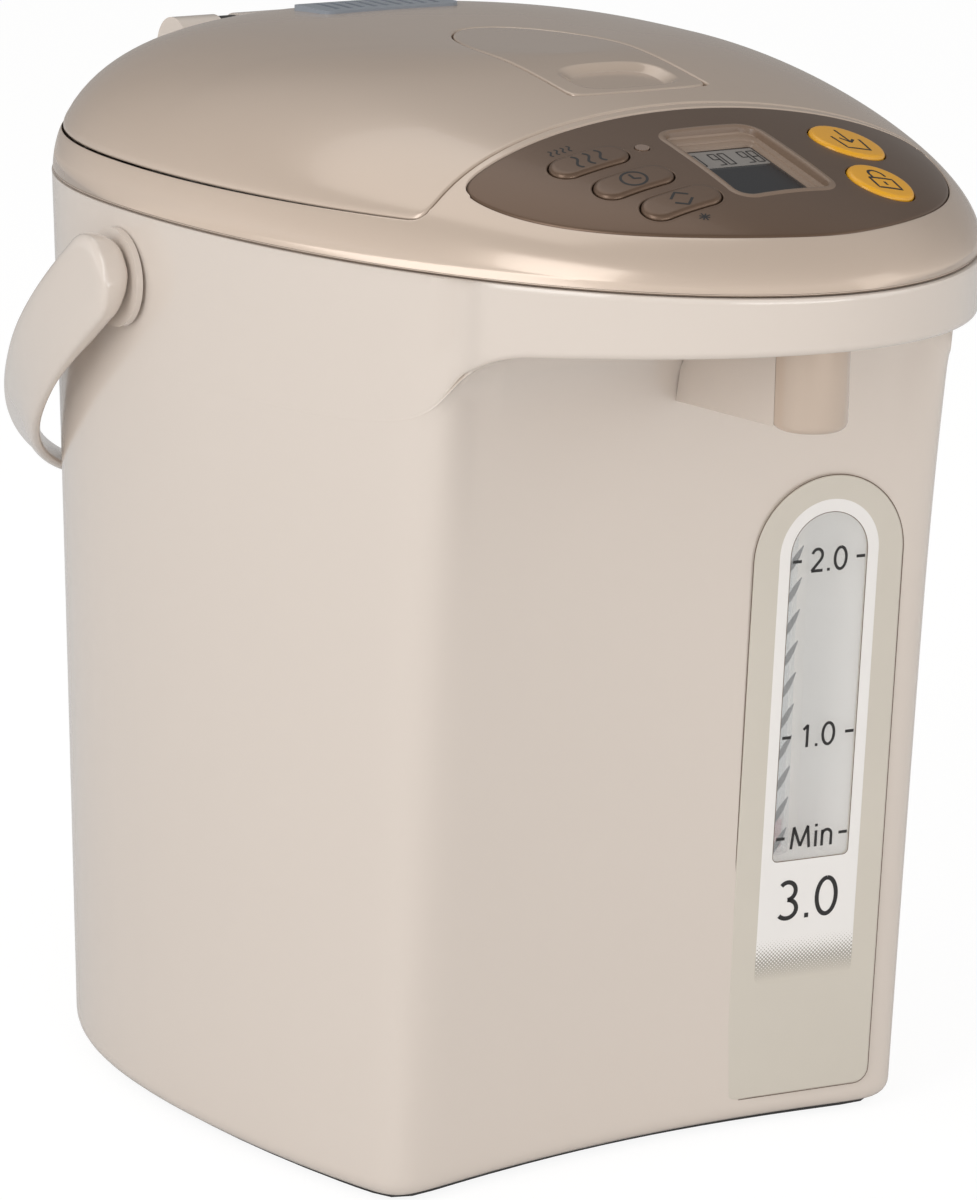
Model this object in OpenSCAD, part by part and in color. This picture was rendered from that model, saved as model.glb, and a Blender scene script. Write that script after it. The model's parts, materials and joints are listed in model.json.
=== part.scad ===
// Electric thermo pot with an overhanging pouring head, a domed lid and a swinging carry handle.
// Frame: millimetres, +Z up, the spout faces -Y, origin on the ground under the body's axis.

/* [Casing] */
// Half of the width across the shoulder
shoulder_half = 107.4; // [104:0.2:111]
// From the axis to the back of the shoulder
shoulder_back = 109.4; // [107:0.2:112]
// From the axis to the tip of the pouring head
head_reach = 182; // [176:1:188]
// Half of the width at the ground
foot_half = 98.3; // [95:0.1:101]
// Height of the seam between casing and shoulder frame
seam_z = 249; // [249:1:250]
// Wall thickness of the casing, along a radius
casing_wall = 3.2; // [2.8:0.1:3.6]
// Height of the ceiling under the pouring head
ceiling_z = 229.5; // [228:0.5:231]
// Radius of the cove between the front face and that ceiling
cove_r = 21; // [14:1:24]

/* [Dome] */
// Height of the dome above the seam
dome_h = 40.8; // [39:0.2:42]
// Height of the seam round the lid above the casing's seam
lid_seam_h = 12.7; // [12:0.1:13.5]

/* [Vessel] */
// Inner radius of the water vessel
vessel_r = 80.5; // [78:0.5:81]
// Distance of the vessel's axis behind the body's axis
vessel_y = 5; // [4.5:0.5:5.5]
// Height of the vessel's floor
vessel_floor_z = 60; // [59:0.5:61]

/* [Spout] */
// Radius of the nozzle's shroud
nozzle_r = 9.5; // [9:0.1:10]
// Distance of the nozzle in front of the body's axis
nozzle_y = 159.3; // [158.5:0.1:160]
// Height of the nozzle's mouth
nozzle_z = 211.4; // [210:0.2:212]

/* [Gauge] */
// Sideways distance of the gauge plate's centre
gauge_x = 48.8; // [48:0.1:49.4]
// Width of the gauge plate
gauge_w = 44.6; // [43:0.2:45]
// Lower end of the gauge plate
gauge_low = 9; // [9:0.5:12]
// Upper end of the gauge plate
gauge_high = 183; // [180:0.5:184]
// Width of the gauge window
window_w = 32; // [30:0.5:33]

/* [Buttons] */
// Length of the pill-shaped buttons
pill_l = 22; // [20:0.5:23]
// Width of the pill-shaped buttons
pill_w = 9.6; // [9:0.2:10]
// Radius of the pouring button
pour_r = 10.2; // [9.5:0.1:10.5]
// Radius of the lock button
lock_r = 9; // [8.5:0.1:9.3]
// How far a button stands out of the panel
button_proud = 0.9; // [0.6:0.1:1.2]

/* [Handle] */
// Height of the handle's pivot
pivot_z = 231; // [230.5:0.5:231.5]
// Distance from the pivot's axis to the grip
bail_reach = 150; // [148:1:153]
// Sideways distance of the strap's middle from the axis
bail_half = 116.2; // [116:0.2:117]
// How far the hanging handle lies below the horizontal
bail_drop = 36; // [35:0.5:37]
// Width of the strap at its arms
arm_w = 24; // [22:0.5:26]
// Width of the strap at the grip
grip_w = 16; // [14:0.5:18]
// Thickness of the strap
strap_t = 4.6; // [4:0.2:5]

/* [Hidden] */

e = 0.01;          // overlap that keeps a cut open
run = 0.06;        // radial clearance of a running fit
far = 400;         // longer than anything in the part

beige = [0.83, 0.79, 0.74];
taupe = [0.42, 0.37, 0.33];
yellow = [0.90, 0.70, 0.16];
steel = [0.75, 0.76, 0.77];
dark = [0.16, 0.16, 0.17];

// ---- Plan curves: radius of an outline in the direction th from the axis ----

seam_back_n = 2.36;      // squareness of the back half of the outlines
seam_front_n = 1.96;     // and of the front half at the seam
foot_front_n = 1.8;      // and of the front half at the ground
foot_back = 110.2;       // half-axes at the ground
foot_front = 196.4;
neck_half = 106;         // half-axes just under the head
neck_back = 108.9;
neck_front = 189.9;
neck_z = 225;
foot_z = 3;
foot_face = 94;          // front face: distance at the middle, and how much further its ends lie
foot_hollow = 10.8;
neck_face = 103.9;
neck_hollow = 17.4;
corner_k = 28.7;         // a higher number makes the front corners sharper

function mix(a, b, t) = a + (b - a) * t;
function oval(th, a, b, n) = pow(pow(abs(cos(th)) / a, n) + pow(abs(sin(th)) / b, n), -1 / n);
function plan(th, a, back, front, nf) =
    sin(th) >= 0 ? oval(th, a, back, seam_back_n) : oval(th, a, front, nf);
// Distance to a shallow hollow front: -y = face + hollow * (x / a)^2
function front_face(th, a, face, hollow) =
    let (u = -sin(th), k = hollow * pow(cos(th) / a, 2) + 1e-9, d = u * u - 4 * k * face)
    u > 0 && d > 0 ? (u - sqrt(d)) / (2 * k) : 1e4;
function soft_min(p, q, k) = pow(pow(p, -k) + pow(q, -k), -1 / k);

function foot_plan(th) = soft_min(plan(th, foot_half, foot_back, foot_front, foot_front_n),
    front_face(th, foot_half, foot_face, foot_hollow), corner_k);
function neck_oval(th) = plan(th, neck_half, neck_back, neck_front, foot_front_n);
function neck_plan(th) = soft_min(neck_oval(th), front_face(th, neck_half, neck_face, neck_hollow), corner_k);
function seam_plan(th) = plan(th, shoulder_half, shoulder_back, head_reach, seam_front_n);
function body_plan(th, z) = mix(foot_plan(th), neck_plan(th), (z - foot_z) / (neck_z - foot_z));

// Directions of the columns: close together at the two front corners
COLUMNS = concat([for (t = [-137:2.5:-115]) t], [for (t = [-110:5:-70]) t], [for (t = [-65:2.5:-43]) t],
    [for (t = [-37:7.25:217]) t]);

// A closed skin through one closed section [r, z] for each direction
module ring_skin(secs, dirs) {
    n = len(secs);
    m = len(secs[0]);
    polyhedron(
        points = [for (i = [0:n - 1]) for (p = secs[i]) [p[0] * cos(dirs[i]), p[0] * sin(dirs[i]), p[1]]],
        faces = [for (i = [0:n - 1], j = [0:m - 1])
            let (a = i * m + j, b = i * m + (j + 1) % m, c = (i + 1) % n * m + (j + 1) % m, d = (i + 1) % n * m + j)
            each [[a, b, c], [a, c, d]]]);
}

// A closed cap through rings [r, z] from its lower edge up to a point on the axis
module cap_skin(rings, dirs, top) {
    n = len(dirs);
    k = len(rings);
    polyhedron(
        points = concat([for (ring = rings) for (i = [0:n - 1])
            [ring[i][0] * cos(dirs[i]), ring[i][0] * sin(dirs[i]) + ring[i][2], ring[i][1]]], [top]),
        faces = concat([[for (i = [0:n - 1]) i]],
            [for (q = [0:k - 2], i = [0:n - 1])
                let (a = q * n + i, b = q * n + (i + 1) % n, c = a + n, d = b + n)
                each [[a, d, b], [a, c, d]]],
            [for (i = [0:n - 1]) [(k - 1) * n + i, k * n, (k - 1) * n + (i + 1) % n]]));
}

// Joins faceted children into one skin, at their own size
module skin() resize([0, 0, 0]) union() children();

// ---- Dome: level curves are smaller copies of the seam's outline ----

dome_top = seam_z + dome_h;
dome_side_m = 3.35;      // fullness of the dome at its sides, front and back
dome_front_m = 1.45;
dome_back_m = 4.85;
dome_n = 2.03;
dome_shift = -50.5;      // the small curves drift towards the spout
dome_drift = 2.4;

function dome_plan(th) = plan(th, 107, 109, 180.5, seam_front_n);
function dome_m(th) = let (s = sin(th))
    dome_side_m + (s < 0 ? dome_front_m - dome_side_m : dome_back_m - dome_side_m) * s * s;
function level_z(rho, th) = seam_z + dome_h * pow(max(0, 1 - pow(rho, dome_m(th))), 1 / dome_n);
function level_y(rho) = dome_shift * pow(1 - rho, dome_drift);
// Size of the level curve through a point, found by halving
function level_at(x, y, lo = 0, hi = 1, k = 18) = k == 0 ? (lo + hi) / 2 :
    let (mid = (lo + hi) / 2, dy = y - level_y(mid))
    norm([x, dy]) < mid * dome_plan(atan2(dy, x)) ? level_at(x, y, lo, mid, k - 1) : level_at(x, y, mid, hi, k - 1);
function dome_z(x, y) = let (rho = level_at(x, y)) level_z(rho, atan2(y - level_y(rho), x));
function slope(x, y) = [dome_z(x + 1, y) - dome_z(x - 1, y), dome_z(x, y + 1) - dome_z(x, y - 1)] / 2;

DOME_LEVELS = [1, 0.996, 0.985, 0.965, 0.935, 0.89, 0.82, 0.72, 0.58, 0.4, 0.2];
module dome_solid(inset = 0, drop = 0)
    cap_skin([for (rho = DOME_LEVELS) [for (th = COLUMNS)
        [rho * dome_plan(th) - inset * rho, level_z(rho, th) - drop, level_y(rho)]]],
        COLUMNS, [0, level_y(0), dome_top - drop]);

// Moves children onto the dome, their +Z along its normal
module on_dome(p) {
    g = slope(p[0], p[1]);
    translate([p[0], p[1], dome_z(p[0], p[1])])
        rotate([asin(g[1] / norm([g[0], g[1], 1])), atan(-g[0]), 0]) children();
}

// ---- Outlines seen from above ----

lid_z = seam_z + lid_seam_h;
lid_front = 94.4;        // the lid's front edge, at the middle
lid_bow = 18;            // how much further forward its ends lie, at x = 100
function lid_plan(th) = soft_min(dome_plan(th) * pow(1 - pow(lid_seam_h / dome_h, dome_n), 1 / dome_m(th)),
    front_face(th, 100, lid_front, lid_bow), 70);
module lid_outline(grow = 0) polygon([for (th = COLUMNS) (lid_plan(th) + grow) * [cos(th), sin(th)]]);
module seam_outline(grow = 0) polygon([for (th = COLUMNS) (seam_plan(th) + grow) * [cos(th), sin(th)]]);
module foot_outline(grow = 0, z = 2)
    polygon([for (th = COLUMNS) (body_plan(th, z) + grow) * [cos(th), sin(th)]]);

panel_half = 68.6;
panel_back = 98.2;       // the panel's back edge, at the middle
panel_bow = 0.0024;
panel_mid = 108;
panel_reach = 60.7;
panel_n = 1.75;
PANEL_STEPS = 26;
module panel_outline(grow = 0) offset(delta = grow) offset(r = 3, $fn = 24) offset(delta = -3) polygon(concat(
    [for (i = [0:PANEL_STEPS]) let (x = -panel_half * cos(180 * i / PANEL_STEPS))
        [x, -panel_mid - panel_reach * pow(max(0, 1 - pow(abs(x) / panel_half, panel_n)), 1 / panel_n)]],
    [for (i = [PANEL_STEPS:-1:0]) let (x = -panel_half * cos(180 * i / PANEL_STEPS))
        [x, -panel_back - panel_bow * x * x + 0.02]]));

lever_half = 21;
lever_front = 84;
lever_wide = 45;         // from here back the plate ends in half an oval
lever_back = 2.5;
module lever_outline(grow = 0) offset(delta = grow) offset(r = 4, $fn = 24) offset(delta = -4) polygon(concat(
    [[-lever_half, -lever_wide], [-lever_half, -lever_front + 3], [-lever_half / 2, -lever_front + 0.8],
        [0, -lever_front], [lever_half / 2, -lever_front + 0.8], [lever_half, -lever_front + 3]],
    [for (t = [0:9:180]) [lever_half * cos(t), -lever_wide + (lever_wide - lever_back) * sin(t)]]));

// ---- Casing ----

casing_bottom = 2;
head_edge_r = 2.2;       // rounding of the head's lower edge, and its height where the recess runs out
soft_edge = 12;
ceiling_rise = 0.08;     // slope of the ceiling from the cove to the head's lower edge
recess_half = 80;        // the recess ends here, and its upper corners are round
recess_corner = 26;
function recess_top(x) = let (q = max(0, abs(x) - recess_half + recess_corner))
    ceiling_z - recess_corner + sqrt(max(0, recess_corner * recess_corner - q * q));

function casing_section(th) = let (
    face_x = abs(neck_plan(th) * cos(th)),
    zc = sin(th) < 0 ? recess_top(min(face_x, recess_half)) : ceiling_z - recess_corner,
    low = body_plan(th, zc),
    depth0 = max(0, seam_plan(th) - low),
    w = min(1, max(0, (depth0 - 3) / 12)),
    tall = mix(soft_edge, head_edge_r, min(1, max(0, (depth0 - 8) / 16))),
    side = mix(neck_oval(th), seam_plan(th), max(0, zc + tall - neck_z) / (seam_z - neck_z)),
    edge = mix(max(low + 0.01, zc + tall > neck_z ? side : body_plan(th, zc + tall)), seam_plan(th) - 1.2, w),
    depth = max(0, edge - low),
    cr = min(cove_r, 0.8 * depth),
    cz = max(cr, 5),
    lip = min(head_edge_r + 3 * (1 - w), 0.4 * depth),
    z1 = zc + 0.6 + ceiling_rise * max(0, depth - cr),
    wall = casing_wall)
    [[body_plan(th, casing_bottom) - 4.6, casing_bottom], [body_plan(th, 3) - 1.5, 3.4],
        [body_plan(th, 8), 8], [body_plan(th, zc - cz), zc - cz],
        for (f = [22.5, 45, 67.5, 85]) [mix(body_plan(th, zc - cz * (1 - sin(f))), low + cr, 1 - cos(f)),
            zc - cz * (1 - sin(f))],
        [edge - lip, z1], [edge - 0.29 * lip, z1 + 0.29 * tall], [edge, z1 + tall], [seam_plan(th), seam_z],
        [seam_plan(th) - wall, seam_z], [edge - wall - 0.4 * lip, z1 + 4 + tall],
        [edge - lip - wall, z1 + 3.3], [mix(low, low + cr, 0.75) - 0.3, zc + 3.2],
        [mix(low, low + cr, 0.3) - 2.3, zc - 0.3 * cz + 2.3], [body_plan(th, zc - cz) - wall, zc - cz],
        [body_plan(th, 9) - wall, 9], [body_plan(th, casing_bottom) - 6.6, casing_bottom]];

// Gauge frame: x across the plate, y out of it, z along it; it leans and turns with the hollow front
gauge_turn = -7.2;
gauge_lean = atan(8.8 / 174);
gauge_foot = [gauge_x, -97.45 - 0.25, gauge_low];
module on_gauge() translate(gauge_foot) rotate([gauge_lean, 0, gauge_turn]) rotate([90, 0, 0]) children();
gauge_l = (gauge_high - gauge_low) / cos(gauge_lean);
plate_t = 1.8;
module tall_arch(w, low, high, r = 4) {
    translate([0, high - w / 2]) circle(r = w / 2);
    translate([-w / 2, low + r]) square([w, high - w / 2 - low - r]);
    translate([-w / 2 + r, low]) square([w - 2 * r, r + 1]);
    for (s = [-1, 1]) translate([s * (w / 2 - r), low + r]) circle(r = r);
}
window_low = 36;         // lower end of the window pane, along the plate
window_high = gauge_l - 4.4;
clear_low = 70;          // lower end of its clear part

pivot_x = 106.2;         // outer face of the casing beside the pivot
boss_r = 13;
bush_r = 8;
inlet_z = 30;

module body_casing() color(beige) skin() difference() {
    ring_skin([for (th = COLUMNS) casing_section(th)], COLUMNS);
    on_gauge() translate([0, 0, -plate_t]) linear_extrude(20)
        offset(delta = 0.25) tall_arch(gauge_w, 0, gauge_l, 3);
    on_gauge() translate([0, 0, -20]) linear_extrude(30) tall_arch(window_w - 6, clear_low - 3, window_high - 3, 3);
    translate([0, -nozzle_y, nozzle_z]) cylinder(r = nozzle_r + 0.3, h = 40, $fn = 48);
    for (s = [-1, 1]) translate([s * 100, 0, pivot_z]) rotate([0, 90 * s, 0])
        cylinder(r = bush_r + 0.2, h = 20, $fn = 48);
    translate([0, 100, inlet_z]) rotate([-90, 0, 0]) linear_extrude(20) square([34.6, 22.6], center = true);
    for (s = [-1, 1], k = [0:6]) translate([s * (26 + 5 * k), 118, 22]) rotate([90, 0, 0])
        linear_extrude(40) tall_arch(2.4, -9, 9, 1);
}

// ---- Base ----

module base_cover() color(dark) difference() {
    union() {
        translate([0, 0, 1]) linear_extrude(casing_bottom - 1) foot_outline(-5.2);
        translate([0, 0, casing_bottom - e]) linear_extrude(3 + e) foot_outline(-7.2);
    }
    for (p = LEGS) translate([p[0], p[1], 0]) cylinder(r = 2.2, h = 10, $fn = 32);
    for (p = LEGS) translate([p[0], p[1], 0]) cylinder(r = 4.4, h = 3, $fn = 32);
    for (k = [-4:4], s = [-1, 1]) translate([8 * k, 5 + 62 * s, 0]) linear_extrude(10) tall_arch(3, -12, 12, 1.4);
}

LEGS = [[-60, -30], [60, -30], [-48, 52], [48, 52]];
FEET = [for (s = [-1, 1], y = [-72, 82]) [s * 62, y]];
module base_feet() color(dark) {
    for (p = FEET) translate([p[0], p[1], 0]) cylinder(r = 8, h = 1, $fn = 48);
    cylinder(r = 12, h = 1, $fn = 48);
}
module base_screws() color(steel) for (p = LEGS) translate([p[0], p[1], 0]) {
    translate([0, 0, 1.6]) cylinder(r = 4, h = 1.4, $fn = 32);
    translate([0, 0, 3 - e]) cylinder(r = 2, h = 11, $fn = 32);
}

chassis_z = 51;
module chassis() color("gainsboro") difference() {
    union() {
        translate([0, vessel_y, chassis_z]) cylinder(r = 76, h = 4, $fn = 96);
        for (p = LEGS) translate([p[0], p[1], casing_bottom + 3])
            cylinder(r = 6, h = chassis_z - casing_bottom - 2.9, $fn = 32);
    }
    translate([0, vessel_y, chassis_z - 1]) cylinder(r = 52, h = 10, $fn = 96);
    for (p = LEGS) translate([p[0], p[1], 0]) cylinder(r = 2.02, h = 20, $fn = 32);
}

// ---- Shoulder frame ----

collar_r = 86;           // opening that the vessel hangs in
collar_out = 92;
flange_z = 243.8;
hinge_y = 103.2;
hinge_z = 271.6;
barrel_r = 9.2;
barrel_half = 34;
panel_t = 2.6;

module upper_frame() color(beige) skin() difference() {
    union() {
        difference() {
            dome_solid();
            intersection() {
                dome_solid(inset = 3, drop = 3.2);
                translate([0, 0, seam_z + 2]) linear_extrude(3.3) difference() {
                    seam_outline(-3.5);
                    translate([0, vessel_y]) circle(r = collar_out - 1, $fn = 96);
                    translate([-30, -106]) square([60, 26]);
                }
            }
            translate([0, 0, seam_z - 1]) linear_extrude(3.1) difference() {
                seam_outline(-6.2);
                translate([0, vessel_y]) circle(r = collar_out - 1, $fn = 96);
                translate([-30, -106]) square([60, 26]);
            }
        }
        translate([0, vessel_y, flange_z - 3]) cylinder(r = collar_out, h = 12, $fn = 96);
        translate([0, 0, seam_z - 3]) linear_extrude(4) difference() {
            seam_outline(-4.2);
            seam_outline(-6);
        }
    }
    translate([0, 0, seam_z - 1]) linear_extrude(1.6) difference() {
        seam_outline(5);
        seam_outline(-2.4);
    }
    translate([0, 0, lid_z - 0.5]) linear_extrude(far) lid_outline(0.6);
    translate([0, 0, seam_z + 7]) linear_extrude(far) lid_outline(-5);
    translate([0, vessel_y, flange_z]) cylinder(r = collar_r + 3, h = far, $fn = 96);
    translate([0, vessel_y, 0]) cylinder(r = collar_r, h = far, $fn = 96);
    difference() {
        translate([0, 0, seam_z]) linear_extrude(far) panel_outline(0.25);
        dome_solid(drop = panel_t);
    }
    translate([0, 0, seam_z - 10]) linear_extrude(far) panel_outline(-4);
    translate([-14, -101.5, bolt_z - 6]) cube([28, 12, 16]);
}

knuckle = [14, 20];      // the lid's two knuckles lie between these distances from the middle
pin_r = 2;
module hinge_block() color(beige) difference() {
    union() {
        translate([0, hinge_y, hinge_z]) rotate([0, 90, 0])
            cylinder(r = barrel_r, h = 2 * barrel_half, center = true, $fn = 64);
        translate([-barrel_half, hinge_y - 10.7, seam_z + 7]) cube([2 * barrel_half, 5.2, 15]);
    }
    for (s = [-1, 1]) translate([s * (knuckle[0] + knuckle[1]) / 2, hinge_y, hinge_z]) {
        w = knuckle[1] - knuckle[0] + 0.8;
        rotate([0, 90, 0]) cylinder(r = barrel_r + 0.5, h = w, center = true, $fn = 64);
        translate([-w / 2, -40, -10.6]) cube([w, 40, 20.6]);
    }
    translate([0, hinge_y, hinge_z]) rotate([0, 90, 0]) cylinder(r = pin_r + 0.02, h = 66, center = true, $fn = 32);
}
module hinge_pin() color(steel) translate([0, hinge_y, hinge_z]) rotate([0, 90, 0])
    cylinder(r = pin_r, h = 65, center = true, $fn = 32);

// ---- Vessel, heater, pump ----

module inner_vessel() color(steel) translate([0, vessel_y, 0]) difference() {
    rotate_extrude($fn = 128) polygon([[0, vessel_floor_z], [vessel_r - 7, vessel_floor_z],
        [vessel_r - 2, vessel_floor_z + 2], [vessel_r + 1, vessel_floor_z + 8], [vessel_r + 1, flange_z],
        [collar_r + 2.4, flange_z], [collar_r + 2.4, flange_z + 1], [vessel_r, flange_z + 1],
        [vessel_r, vessel_floor_z + 8.4], [vessel_r - 2.6, vessel_floor_z + 3], [vessel_r - 7.2, vessel_floor_z + 1],
        [0, vessel_floor_z + 1]]);
    translate([pump_p[0], pump_p[1] - vessel_y, 50]) cylinder(r = 6, h = 20, $fn = 32);
}
heater_r = 60;
module heater_plate() color("silver") difference() {
    translate([0, vessel_y, chassis_z + 4]) cylinder(r = heater_r, h = vessel_floor_z - chassis_z - 4, $fn = 96);
    translate([pump_p[0], pump_p[1], 50]) cylinder(r = 9.4, h = 20, $fn = 32);
    translate([0, vessel_y, 50]) cylinder(r = 9.4, h = 20, $fn = 32);
}
module thermostat() color("white") translate([0, vessel_y, 0]) {
    translate([0, 0, vessel_floor_z - 12]) cylinder(r = 9, h = 12, $fn = 48);
    translate([-12, -4, vessel_floor_z - 14]) cube([24, 8, 2.01]);
}

pump_p = [26, -28];
pump_r = 21;
pump_low = 29;
pump_high = 46;
tube_p = [46, -84];
elbow_z = 36;
module pump_housing() color("whitesmoke") difference() {
    union() {
        translate([pump_p[0], pump_p[1], pump_low]) cylinder(r = pump_r, h = pump_high - pump_low, $fn = 64);
        translate([pump_p[0], pump_p[1], pump_high - e]) cylinder(r = 9, h = vessel_floor_z - pump_high + e, $fn = 32);
        translate([tube_p[0], pump_p[1], elbow_z + 1]) rotate([90, 0, 0]) cylinder(r = 6, h = 32, $fn = 32);
    }
    translate([pump_p[0], pump_p[1], pump_low + 2]) cylinder(r = pump_r - 2, h = pump_high - pump_low - 4, $fn = 64);
    translate([pump_p[0], pump_p[1], pump_high - 3]) cylinder(r = 6, h = 30, $fn = 32);
    translate([tube_p[0] - 1, pump_p[1], elbow_z + 1]) rotate([90, 0, 0]) cylinder(r = 4, h = 40, $fn = 32);
    translate([pump_p[0], pump_p[1], 0]) cylinder(r = 1.5 + run, h = pump_low + 3, $fn = 24);
}
module pump_impeller() color("tan") translate([pump_p[0], pump_p[1], 0]) {
    translate([0, 0, 18]) cylinder(r = 1.5, h = 17, $fn = 24);
    translate([0, 0, 33]) cylinder(r = 15, h = 2, $fn = 48);
    translate([0, 0, 34]) cylinder(r = 4, h = 7, $fn = 32);
    for (k = [0:5]) rotate(60 * k) translate([3.5, -0.8, 34.9]) rotate(24) cube([9.5, 1.6, 5]);
}
module pump_motor() color("dimgray") translate([pump_p[0], pump_p[1], 0]) difference() {
    union() {
        translate([0, 0, 5]) cylinder(r = 14, h = 21, $fn = 48);
        translate([0, 0, 26 - e]) cylinder(r = 17, h = 3 + e, $fn = 48);
    }
    translate([0, 0, 17]) cylinder(r = 1.5 + run, h = 20, $fn = 24);
}

// ---- Water gauge and delivery line ----

tube_r = 6;
tube_bore = 4.7;
tube_low = 44;
tube_high = 214;
module lower_elbow() color("white") translate([tube_p[0], tube_p[1], 0]) difference() {
    union() {
        translate([0, 0, 30]) cylinder(r = 8, h = 20, $fn = 32);
        translate([0, 27, elbow_z + 1]) rotate([90, 0, 0]) cylinder(r = 8, h = 27, $fn = 32);
    }
    translate([0, 0, tube_low]) cylinder(r = tube_r + 0.02, h = 10, $fn = 32);
    translate([0, 0, 33]) cylinder(r = 4, h = 20, $fn = 32);
    translate([0, 30, elbow_z + 1]) rotate([90, 0, 0]) cylinder(r = 4, h = 30, $fn = 32);
    translate([0, 30, elbow_z + 1]) rotate([90, 0, 0]) cylinder(r = 6.02, h = 5 + 27 - 12, $fn = 32);
}
module gauge_tube() color([0.8, 0.9, 0.95, 0.5]) translate([tube_p[0], tube_p[1], tube_low]) difference() {
    cylinder(r = tube_r, h = tube_high - tube_low, $fn = 48);
    translate([0, 0, -1]) cylinder(r = tube_bore, h = far, $fn = 48);
}
module level_float() color("red") translate([tube_p[0], tube_p[1], 76]) {
    cylinder(r = 4.2, h = 7, $fn = 32);
    translate([0, 0, 7 - e]) cylinder(r1 = 4.2, r2 = 1.5, h = 2.5, $fn = 32);
}
channel_low = 68;
channel_high = 188;
module gauge_channel() color("white") translate([tube_p[0], tube_p[1], channel_low])
    linear_extrude(channel_high - channel_low) {
        translate([-14, 8.4]) square([28, 1.6]);
        for (s = [-1, 1]) translate([s * 13.2 - 0.8, -1]) square([1.6, 10]);
        for (s = [-1, 1]) translate([s * 7.4 - 0.7, 5]) square([1.4, 3.5]);
    }
line_z = 244.8;
line_r = 5;
// A length of pipe from one point to another
module rod(a, b, r) {
    d = b - a;
    translate(a) rotate([0, acos(d[2] / norm(d)), atan2(d[1], d[0])]) cylinder(r = r, h = norm(d), $fn = 32);
}
module upper_elbow() color("white") {
    a = [tube_p[0], tube_p[1], line_z];
    b = [0, -nozzle_y, line_z];
    difference() {
        union() {
            translate([a[0], a[1], tube_high - 8]) cylinder(r = 8, h = line_z - tube_high + 14, $fn = 32);
            rod(a, b, line_r);
            translate([b[0], b[1], flange_top]) cylinder(r = 7, h = line_z - flange_top + 5.2, $fn = 32);
        }
        translate([a[0], a[1], tube_high - 9]) cylinder(r = tube_r + 0.02, h = 9, $fn = 32);
        translate([a[0], a[1], tube_high - 2]) cylinder(r = 4, h = line_z - tube_high + 5, $fn = 32);
        rod(a, b, 3.4);
        translate([b[0], b[1], flange_top - 1]) cylinder(r = 4, h = line_z - flange_top + 4, $fn = 32);
    }
}
flange_low = 237.8;      // the nozzle's flange rests on the ceiling's upper side
flange_top = 239.6;
module spout_nozzle() color(beige) translate([0, -nozzle_y, 0]) rotate_extrude($fn = 64) polygon([
    [nozzle_r - 2, nozzle_z + 0.4], [nozzle_r - 1.6, nozzle_z], [nozzle_r - 1, nozzle_z + 0.3],
    [nozzle_r - 0.3, nozzle_z + 1], [nozzle_r, nozzle_z + 2], [nozzle_r, flange_low],
    [nozzle_r + 2.5, flange_low], [nozzle_r + 2.5, flange_top], [4.4, flange_top], [4.4, nozzle_z + 6],
    [5.6, nozzle_z + 6], [5.6, 234], [nozzle_r - 2, 234]]);
// The fairing narrows from the nozzle to an upright edge on the front face, under cove and ceiling
fairing_low = [207.3, 212.4];
seat = 0.06;
module spout_pod() color(beige) difference() {
    sec = casing_section(-90);
    intersection() {
        translate([0, 0, fairing_low[0] - 5]) linear_extrude(40) polygon([[-0.8, -100], [0.8, -100],
            [nozzle_r - 0.2, 2 - nozzle_y], [0.2 - nozzle_r, 2 - nozzle_y]]);
        rotate([90, 0, 90]) translate([0, 0, -12]) linear_extrude(24) polygon(concat(
            [[-nozzle_y, fairing_low[1]], [-body_plan(-90, fairing_low[0]) - seat, fairing_low[0]]],
            [for (k = [3:8]) if (sec[k][1] > fairing_low[0]) [-sec[k][0] - seat, sec[k][1] - seat]],
            [[-nozzle_y, mix(sec[7][1], sec[8][1], (nozzle_y - sec[7][0]) / (sec[8][0] - sec[7][0])) - seat]]));
    }
    translate([0, -nozzle_y, 200]) cylinder(r = nozzle_r + 0.05, h = 60, $fn = 64);
}

module gauge_plate() color([0.80, 0.77, 0.72]) on_gauge() translate([0, 0, -plate_t]) linear_extrude(plate_t)
    difference() {
        tall_arch(gauge_w, 0, gauge_l, 3);
        tall_arch(window_w + 0.3, window_low - 0.15, window_high + 0.15, 2);
    }
module gauge_window() color([0.9, 0.92, 0.93, 0.5]) on_gauge() translate([0, 0, -plate_t])
    linear_extrude(plate_t) tall_arch(window_w, window_low, window_high, 2);

// ---- Control panel ----

reboil_p = [-39.6, -117.6];
timer_p = [-35.6, -131.6];
select_p = [-30.4, -144.8];
pour_p = [36.4, -121.4];
lock_p = [29.6, -145.2];
lens_p = [-23.8, -117.6];
display_p = [-1, -130.4];
display_w = 27.5;
display_l = 38;
module pill(l, w) {
    square([l - w, w], center = true);
    for (s = [-1, 1]) translate([s * (l - w) / 2, 0]) circle(r = w / 2);
}
module soft_rect(w, l, r) {
    square([w - 2 * r, l], center = true);
    square([w, l - 2 * r], center = true);
    for (s = [-1, 1], t = [-1, 1]) translate([s * (w / 2 - r), t * (l / 2 - r)]) circle(r = r);
}
key_gap = 0.35;
module control_panel() color(taupe) difference() {
    skin() difference() {
        intersection() {
            dome_solid();
            translate([0, 0, seam_z + 1]) linear_extrude(far) panel_outline(0);
        }
        dome_solid(drop = panel_t - 0.1);
    }
    for (p = [reboil_p, timer_p, select_p]) on_dome(p) translate([0, 0, -15]) linear_extrude(30)
        pill(pill_l + 2 * key_gap, pill_w + 2 * key_gap);
    on_dome(pour_p) cylinder(r = pour_r + key_gap, h = 30, center = true, $fn = 48);
    on_dome(lock_p) cylinder(r = lock_r + key_gap, h = 30, center = true, $fn = 48);
    on_dome(lens_p) cylinder(r = 1.8, h = 30, center = true, $fn = 24);
    on_dome(display_p) translate([0, 0, -15]) linear_extrude(30) soft_rect(display_w, display_l, 4);
}
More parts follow.
